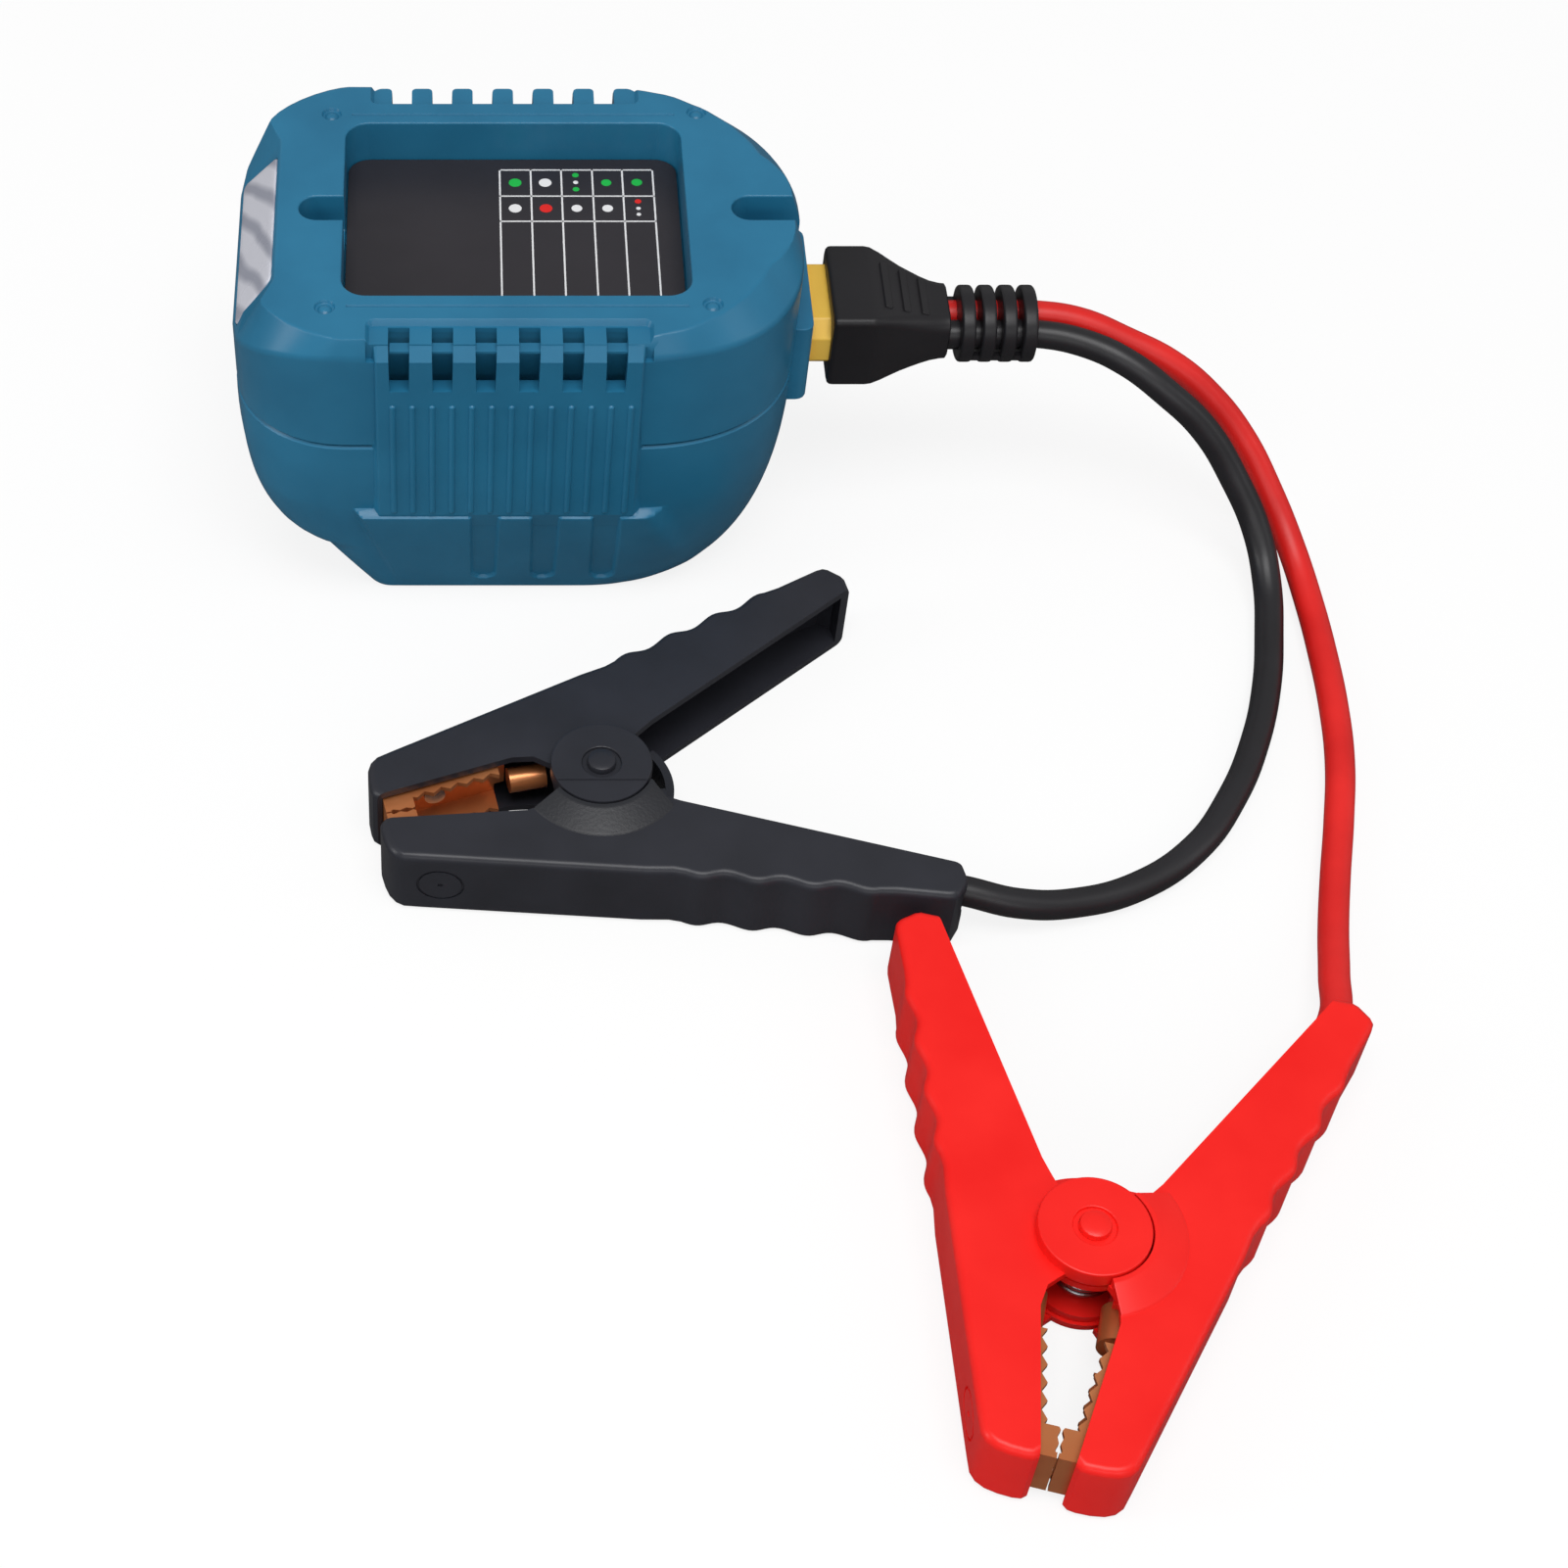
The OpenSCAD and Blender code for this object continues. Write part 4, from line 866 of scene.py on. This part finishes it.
waist = [(60.8, 10.6, 36.5, 51.5, 1.0), (61.0, 11.2, 35.95, 52.05, 1.1), (61.4, 11.5, 35.7, 52.4, 1.2),
         (62.0, 11.6, 35.6, 52.5, 1.3), (68.4, 11.6, 35.6, 52.5, 1.3), (69.6, 11.45, 35.62, 52.4, 1.4),
         (71.5, 10.75, 35.75, 51.8, 1.7), (73.5, 9.85, 36.0, 51.0, 2.0), (75.5, 9.05, 36.3, 50.2, 2.3),
         (77.5, 8.4, 36.6, 49.5, 2.5), (79.5, 7.8, 36.9, 48.8, 2.7), (81.5, 7.3, 37.2, 48.2, 2.8),
         (83.4, 7.0, 37.4, 47.85, 2.8), (84.4, 6.9, 37.4, 47.8, 2.8), (84.7, 6.5, 37.8, 47.4, 2.6)]
cover = swept("cover", [(x, rounded_section(*section)) for x, *section in waist])
for x, half_y, near, far in ((71.1, 6.6, 51.95, 51.4), (74.9, 6.0, 50.45, 49.8), (78.7, 5.3, 49.1, 48.55)):
    ends = ((0, 0.3, near - 0.3), (0.25, 0, near), (1.5, 0, far), (1.75, 0.3, far - 0.3))
    cut(cover, swept("bar", [(x + dx, rounded_section(half_y - cutback, 44, top + 0.32, 0.35))
                             for dx, cutback, top in ends]), operation="UNION")
cut(cover, swept("plug_pocket", [(50, plug_section(0.05)), (70, plug_section(0.05))]))
for y in (-contact_y, contact_y):
    cut(cover, round_hole("contact_pocket", y, plug_z, 3.02, 60, 71.1))


def lead_holes(form, low_x, high_x):
    """Bores both leads' holes in a piece of the connector."""
    for y in (-lead_y, lead_y):
        cut(form, round_hole("lead_hole", y, neck_z, 2.86, low_x, high_x))
    return form


dress(crisp(lead_holes(cover, 80.7, 90), 0.25), black_rubber, "lead_set", "plug_cover", "plug_cover")

# Strain relief: four rubber rings on three thin spines, moulded round both leads, so that they
# bend gently where they leave the cover.
def oval(x, shrink):
    """Section of the sleeve, a little square in its corners."""
    half_y, half_z = 7.8 - shrink, 7.1 - shrink
    return (x, [(half_y * math.cos(a * math.pi / 24) * (1 + 0.04 * math.sin(a * math.pi / 12) ** 2),
                 neck_z + 0.2 + half_z * math.sin(a * math.pi / 24)) for a in range(48)])


ring_pitch = 4.05
ring_edges = ((0, 0.7), (0.1, 0.3), (0.35, 0.06), (0.7, 0), (2.1, 0), (2.45, 0.06), (2.7, 0.3), (2.8, 0.7))
relief_rings = [swept("ring", [oval(87 + ring_pitch * i + dx, shrink) for dx, shrink in ring_edges])
                for i in range(4)]
sleeve = relief_rings[0]
spines = [block("spine", (83.2, -1.4, neck_z - 5.4), (101, 1.4, neck_z - 3.4)),
          block("spine", (83.2, 5.6, neck_z - 1.2), (101, 6.9, neck_z + 1.2)),
          block("spine", (87.5, -6.9, neck_z - 3.4), (101, -5.5, neck_z - 2.3))]
cut(sleeve, *relief_rings[1:], *spines, operation="UNION")
dress(crisp(lead_holes(sleeve, 80, 106), 0.2), black_rubber, "lead_set", "strain_relief", "strain_relief")

# Clamps: each has two moulded arms on a pin, pushed shut by a torsion spring. Both are modelled once,
# jaws to the left, and copied to where they lie.
arm_h = 15.6
arm_wall = 1.9
disc_top = arm_h + 2.4


def wavy(x, inset=0):
    """Outer line of a grip, with its finger waves."""
    return 25.8 + (x - 7) * 16.2 / 48 + 0.6 * math.sin(2 * math.pi * (x - 9) / 9.6) - inset


# Outlines from above: the nose's tip, the outer line, the grip's end and the way back inside.
grip_line = [9 + 0.825 * k for k in range(41)]
arm_line = ([(-41.6, 2.8), (-42.3, 3.6), (-42.5, 5), (-42.4, 7.4), (-42, 9.6), (-41.2, 11.2),
             (-39.9, 12.3), (-37, 13.2), (2, 24.5), (7, 25.6)]
            + [(x, wavy(x)) for x in grip_line]
            + [(45, 38.5), (50, 40.2), (53.6, 41.4), (55, 41.6), (56, 41.1), (58, 38.9), (58.5, 37.8),
               (58.5, 34.8), (12.4, 10), (9.6, 8.1), (7, 6.2), (0, 5), (-8.5, 3.2), (-11.5, 5.8),
               (-15.5, 6.4)])
hollow_line = ([(-40.6, -2), (-40.6, 8.3), (-39.2, 10.1), (7.6, 23.9)]
               + [(x, wavy(x, 2)) for x in grip_line]
               + [(54.5, 39.4), (56.6, 37.4), (56.6, 20), (20, 0), (0, -5)])


def arm_body(name, side):
    """Solid arm on one side, rounded along its top and bottom."""
    form = lofted(name, [[(x, side * y, z) for x, y in arm_line] for z in (0, arm_h)])
    round_edges(form, 1.5, 5, lambda middle, along: abs(along.z) < 0.1
                and side * middle.y > 3 + (middle.x + 42.5) * 0.322)
    return form


def arm_hollow(side):
    """Space inside an arm, between its top and bottom walls."""
    return lofted("arm_hollow", [[(x, side * y, z) for x, y in hollow_line] for z in (1.5, arm_h - 1.5)])


def drum(name, rows, sides=72):
    """Solid of revolution about the pin."""
    return lathed(name, (0, 0), rows, sides)


def nose_mark(arm, side):
    """Round mould mark with a fine groove and a dot, on the side of the nose."""
    along, out = Vector((0.96, side * 0.279, 0)), Vector((-0.279, side * 0.96, 0))
    centre = Vector((-33.4, side * 14.27, arm_h / 2))

    def disc(name, radius):
        return lofted(name, [[tuple(centre + out * w + along * (1.06 * u) + Vector((0, 0, v)))
                              for u, v in circle((0, 0), radius, 48)] for w in (-0.35, 1)])

    cut(arm, cut(disc("mark", 4.15), disc("island", 3.7)), disc("dot", 0.5))


# The disc arm has a thin disc below and a thick one with a sunk middle above.
disc_arm = arm_body("disc_arm", 1)
cut(disc_arm, arm_hollow(1), drum("clearance", [(9.8, arm_wall), (9.8, arm_h - arm_wall)]))
cut(disc_arm, drum("lower_disc", [(8.9, 0), (9.2, 0.15), (9.4, 0.5), (9.4, arm_wall)]),
    drum("upper_disc", [(8.9, arm_h - 1.2), (9.3, arm_h - 0.9), (9.4, arm_h - 0.5), (9.4, disc_top - 0.45),
                        (9.28, disc_top - 0.12), (9.0, disc_top), (3.9, disc_top), (3.65, disc_top - 0.15),
                        (3.55, disc_top - 0.55), (2.7, disc_top - 0.55), (2.7, disc_top - 0.6),
                        (0.1, disc_top - 0.6)]),
    operation="UNION")
cut(disc_arm, drum("pin_hole", [(2.05, -1), (2.05, 30)]), drum("head_recess", [(3.5, -1), (3.5, 1.1)]))
crisp(disc_arm, 0.25, 40)
nose_mark(disc_arm, 1)

# The wire arm has a collar round the disc on its own side only, a wall behind the disc, and two
# ears on straps that carry the pin.
wire_arm = arm_body("wire_arm", -1)
collar = drum("collar", [(15.6, arm_h - 0.3), (15.6, arm_h), (15.2, arm_h + 0.35), (10.7, arm_h + 1.8),
                         (10.3, arm_h + 2), (9, arm_h + 2)])
sector = lofted("sector", [[(x, y, z) for x, y in ((0, 0), (-18, -8), (-18, -30), (20.3, -30), (8.2, -5.7))]
                           for z in (arm_h - 1, arm_h + 9)])
cut(wire_arm, cut(collar, sector, operation="INTERSECT"), operation="UNION")
cut(wire_arm, arm_hollow(-1), drum("disc_clearance", [(9.7, -1), (9.7, arm_h + 9)]))
back_arc = [(13.8, math.radians(a)) for a in range(-50, 31, 4)]
back_arc += [(12.2, math.radians(a)) for a in range(30, -51, -4)]
cut(wire_arm, lofted("back_wall", [[(r * math.cos(a), r * math.sin(a), z) for r, a in back_arc]
                                   for z in (2.1, 10.4)]), operation="UNION")
for z in (2.1, 12.0):
    ear = drum("ear", [(8.8, z), (8.8, z + 1.5)])
    strap = block("strap", (-11, -15.5, z), (11, -5, z + 1.5))
    cut(strap, drum("reach", [(14.6, z - 1), (14.6, z + 3)]), operation="INTERSECT")
    cut(wire_arm, ear, strap, operation="UNION")
cut(wire_arm, drum("pin_hole", [(2.02, -1), (2.02, 30)]),
    block("lead_window", (55.5, -39.5, 5.6), (60, -31.5, 12.4)))
crisp(wire_arm, 0.25, 40)
nose_mark(wire_arm, -1)

pin = drum("pin", [(2.9, 0.2), (3.2, 0.4), (3.2, 1.0), (2, 1.0), (2, disc_top - 0.5),
                   (2.6, disc_top - 0.5), (2.65, disc_top + 0.35), (2.5, disc_top + 0.65),
                   (2.1, disc_top + 0.82), (1.2, disc_top + 0.9), (0.2, disc_top + 0.92)], 40)

# Torsion spring of bright steel wire, 1.2 mm thick: a leg in each arm and a little over four turns
# round the pin.
coil_r, coil_pitch, coil_steps = 5, 1.65, 120
leg_angle = math.radians(35)
leg_steps = (1.5, 4, 14, 28, 42)
sweep = 2 * math.pi * 4 + math.pi - 2 * leg_angle
coil_low = arm_h / 2 - coil_pitch * sweep / (4 * math.pi)
coil = []
for i in range(coil_steps + 1):
    a = -math.pi / 2 - leg_angle - sweep * i / coil_steps
    coil.append(Vector((coil_r * math.cos(a), coil_r * math.sin(a),
                        coil_low + coil_pitch * sweep / (2 * math.pi) * i / coil_steps)))
wire_leg, disc_leg = (Vector((math.cos(leg_angle), side * math.sin(leg_angle), 0)) for side in (-1, 1))
wire_points = [coil[0] + wire_leg * reach for reach in reversed(leg_steps)] + coil
wire_points += [coil[-1] + disc_leg * reach for reach in leg_steps]
wire = bpy.data.curves.new("spring", "CURVE")
wire.dimensions = "3D"
wire.bevel_depth = 0.6 * mm
wire.bevel_resolution = 3
wire.use_fill_caps = True
run = wire.splines.new("POLY")
run.points.add(len(wire_points) - 1)
for spot, point in zip(run.points, wire_points):
    spot.co = (*(point * mm), 1)
spring = bpy.data.objects.new("spring", wire)
bpy.context.scene.collection.objects.link(spring)
only(spring)
bpy.ops.object.convert(target="MESH")
spring = bpy.context.object

black_plastic = finish("black_nylon", "303138", "292A30", 0.33, grain=0.12, Specular_IOR_Level=0.35)
red_plastic = finish("red_nylon", "FC241E", "F41712", 0.34, grain=0.12, Specular_IOR_Level=0.34)
spring_steel = finish("spring_steel", "B9BBC0", "9C9EA4", 0.26, grain=0.08, Metallic=1.0)
for colour, pivot, turn, plastic in (("black", black_pivot, black_turn, black_plastic),
                                     ("red", red_pivot, red_turn, red_plastic)):
    place = Matrix.Translation(Vector((*pivot, 0)) * mm) @ Matrix.Rotation(math.radians(turn), 4, "Z")
    arm_body_name = colour + "_clamp_arm"
    for form, name, material, body, slot in (
            (disc_arm, "disc_arm", plastic, arm_body_name, colour + "_plastic"),
            (wire_arm, "wire_arm", plastic, "lead_set", colour + "_plastic"),
            (pin, "pivot_pin", plastic, "lead_set", colour + "_plastic"),
            (spring, "spring", spring_steel, None, "spring")):
        twin = copied(form, f"{colour}_{name}_piece")
        if colour == "black" and name == "disc_arm":
            chord = block("chord", (-12, -12, disc_top - 0.22), (12, -4.2, disc_top + 1))
            chord.data.transform(Matrix.Rotation(math.radians(-turn), 4, "Z"))
            cut(twin, chord)
        twin.data.transform(place)
        if body is None:
            twin.data.materials.clear()
            twin.data.materials.append(material)
            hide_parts(f"{colour}_{name}")
            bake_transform(twin)
        else:
            dress(twin, material, body, slot, f"{colour}_{name}")
        if colour == "black" and name == "wire_arm":
            twin.data.materials.append(finish("grained_black_nylon", "2B2C31", "232428", 0.42, grain=1.0,
                                              grain_scale=1700, Specular_IOR_Level=0.4))
            for face in twin.data.polygons:
                if face.center.z > (arm_h + 0.1) * mm:
                    face.material_index = 1
for form in (disc_arm, wire_arm, pin, spring):
    bpy.data.objects.remove(form)

# Inside parts keep their solids: glass-fibre boards, tinned and copper metal, aluminium, black moulded
# parts and steel screws, each with its own finish.


def coat(material, *nodes):
    """Gives these solids a material."""
    for name in nodes:
        form = bpy.data.objects[name]
        form.data.materials.clear()
        form.data.materials.append(material)


both = ("black", "red")
copper = finish("copper", "E0935F", "CC7947", 0.32, grain=0.15, grain_scale=700, Metallic=0.6)
brass = finish("brass", "D6AE5E", "C79C4C", 0.28, Metallic=1.0)
bright_steel = finish("bright_steel", "C4C6CA", "AEB0B5", 0.25, Metallic=1.0)
coat(copper, *[f"{c}_{n}" for c in both for n in ("wire_jaw", "disc_jaw", "wire_lug", "disc_lug")])
coat(bright_steel, "housing_screws", *[f"{c}_{n}" for c in both for n in ("wire_rivet", "disc_rivet")])
coat(brass, "socket_pins", "plug_contacts", "terminal_blades")
coat(copper, "output_busbars", "power_inductor")
coat(plug_yellow, "output_socket")
coat(finish("black_moulding", "242428", "1C1C20", 0.4, grain=0.2, grain_scale=1200),
     "terminal_block", "power_transistors")
coat(finish("aluminium", "C3C6CA", "A9ADB2", 0.4, grain=0.3, grain_scale=900, Metallic=1.0), "heat_sink")
coat(finish("circuit_green", "1C6A3B", "145530", 0.35, grain=0.15), "circuit_board", "lamp_board")
coat(finish("capacitor_sleeve", "2C2F4A", "23263D", 0.3, grain=0.08), "capacitors")
coat(finish("white_reflector", "ECEDEF", "DDDFE3", 0.25, grain=0.05), "lamp_reflector")

# Floor and light: a white sweep that keeps a faint shadow, a broad soft light above, a softer one
# in front and two upright ones at the sides. The floor is white to the camera and through clear
# pieces; glossy pieces mirror it dark, so the walls keep their colour.
bpy.ops.mesh.primitive_plane_add(size=6)
floor = bpy.context.object
floor.name = "floor"
white = bpy.data.materials.new("white_floor")
white.use_nodes = True
tree = white.node_tree
tree.nodes.clear()
path = node(tree, "ShaderNodeLightPath")
seen_through = node(tree, "ShaderNodeMath")
seen_through.operation = "MAXIMUM"
paint = node(tree, "ShaderNodeMix")
paint.data_type = "RGBA"
paint.inputs[mix_a].default_value = (0.46, 0.46, 0.46, 1)
paint.inputs[mix_b].default_value = (0.13, 0.13, 0.13, 1)
share = node(tree, "ShaderNodeMath")
share.operation = "MULTIPLY"
share.inputs[1].default_value = 0.66
matt = node(tree, "ShaderNodeBsdfDiffuse")
glow = node(tree, "ShaderNodeEmission", Strength=1.28)
blend = node(tree, "ShaderNodeMixShader")
output = node(tree, "ShaderNodeOutputMaterial")
wired(tree, (path, "Is Camera Ray", seen_through, 0), (path, "Is Transmission Ray", seen_through, 1),
      (path, "Is Glossy Ray", paint, mix_factor), (seen_through, 0, share, 0),
      (paint, mix_out, matt, "Color"), (share, 0, blend, 0), (matt, 0, blend, 1), (glow, 0, blend, 2),
      (blend, 0, output, "Surface"))
floor.data.materials.append(white)

bpy.context.scene.view_settings.view_transform = "Standard"
world = bpy.data.worlds.new("world")
bpy.context.scene.world = world
world.use_nodes = True
tree = world.node_tree
backdrop = fill(tree.nodes["Background"], Color=(1, 1, 1, 1))
path = node(tree, "ShaderNodeLightPath")
level = node(tree, "ShaderNodeMix", A=0.34, B=1.0)
wired(tree, (path, "Is Camera Ray", level, "Factor"), (level, "Result", backdrop, "Strength"))


def softbox(name, place, aim, size, watts):
    """Rectangular light at a place, turned towards a point."""
    lamp = bpy.data.lights.new(name, "AREA")
    lamp.shape = "RECTANGLE"
    lamp.size, lamp.size_y = size
    lamp.energy = watts
    form = bpy.data.objects.new(name, lamp)
    bpy.context.scene.collection.objects.link(form)
    form.location = place
    form.rotation_euler = (Vector(place) - Vector(aim)).to_track_quat("Z", "Y").to_euler()
    return form


softbox("light_above", (0.05, -0.42, 1.25), (0.05, -0.08, 0), (0.9, 0.6), 9.5)
softbox("light_front", (0.1, -1.2, 0.62), (0.02, -0.05, 0.03), (1.3, 0.3), 2.2)
softbox("light_left", (-0.95, -0.3, 0.5), (0, 0, 0.05), (0.25, 0.7), 2.4)
softbox("light_right", (1.0, -0.2, 0.55), (0, 0, 0.05), (0.25, 0.7), 0.6)
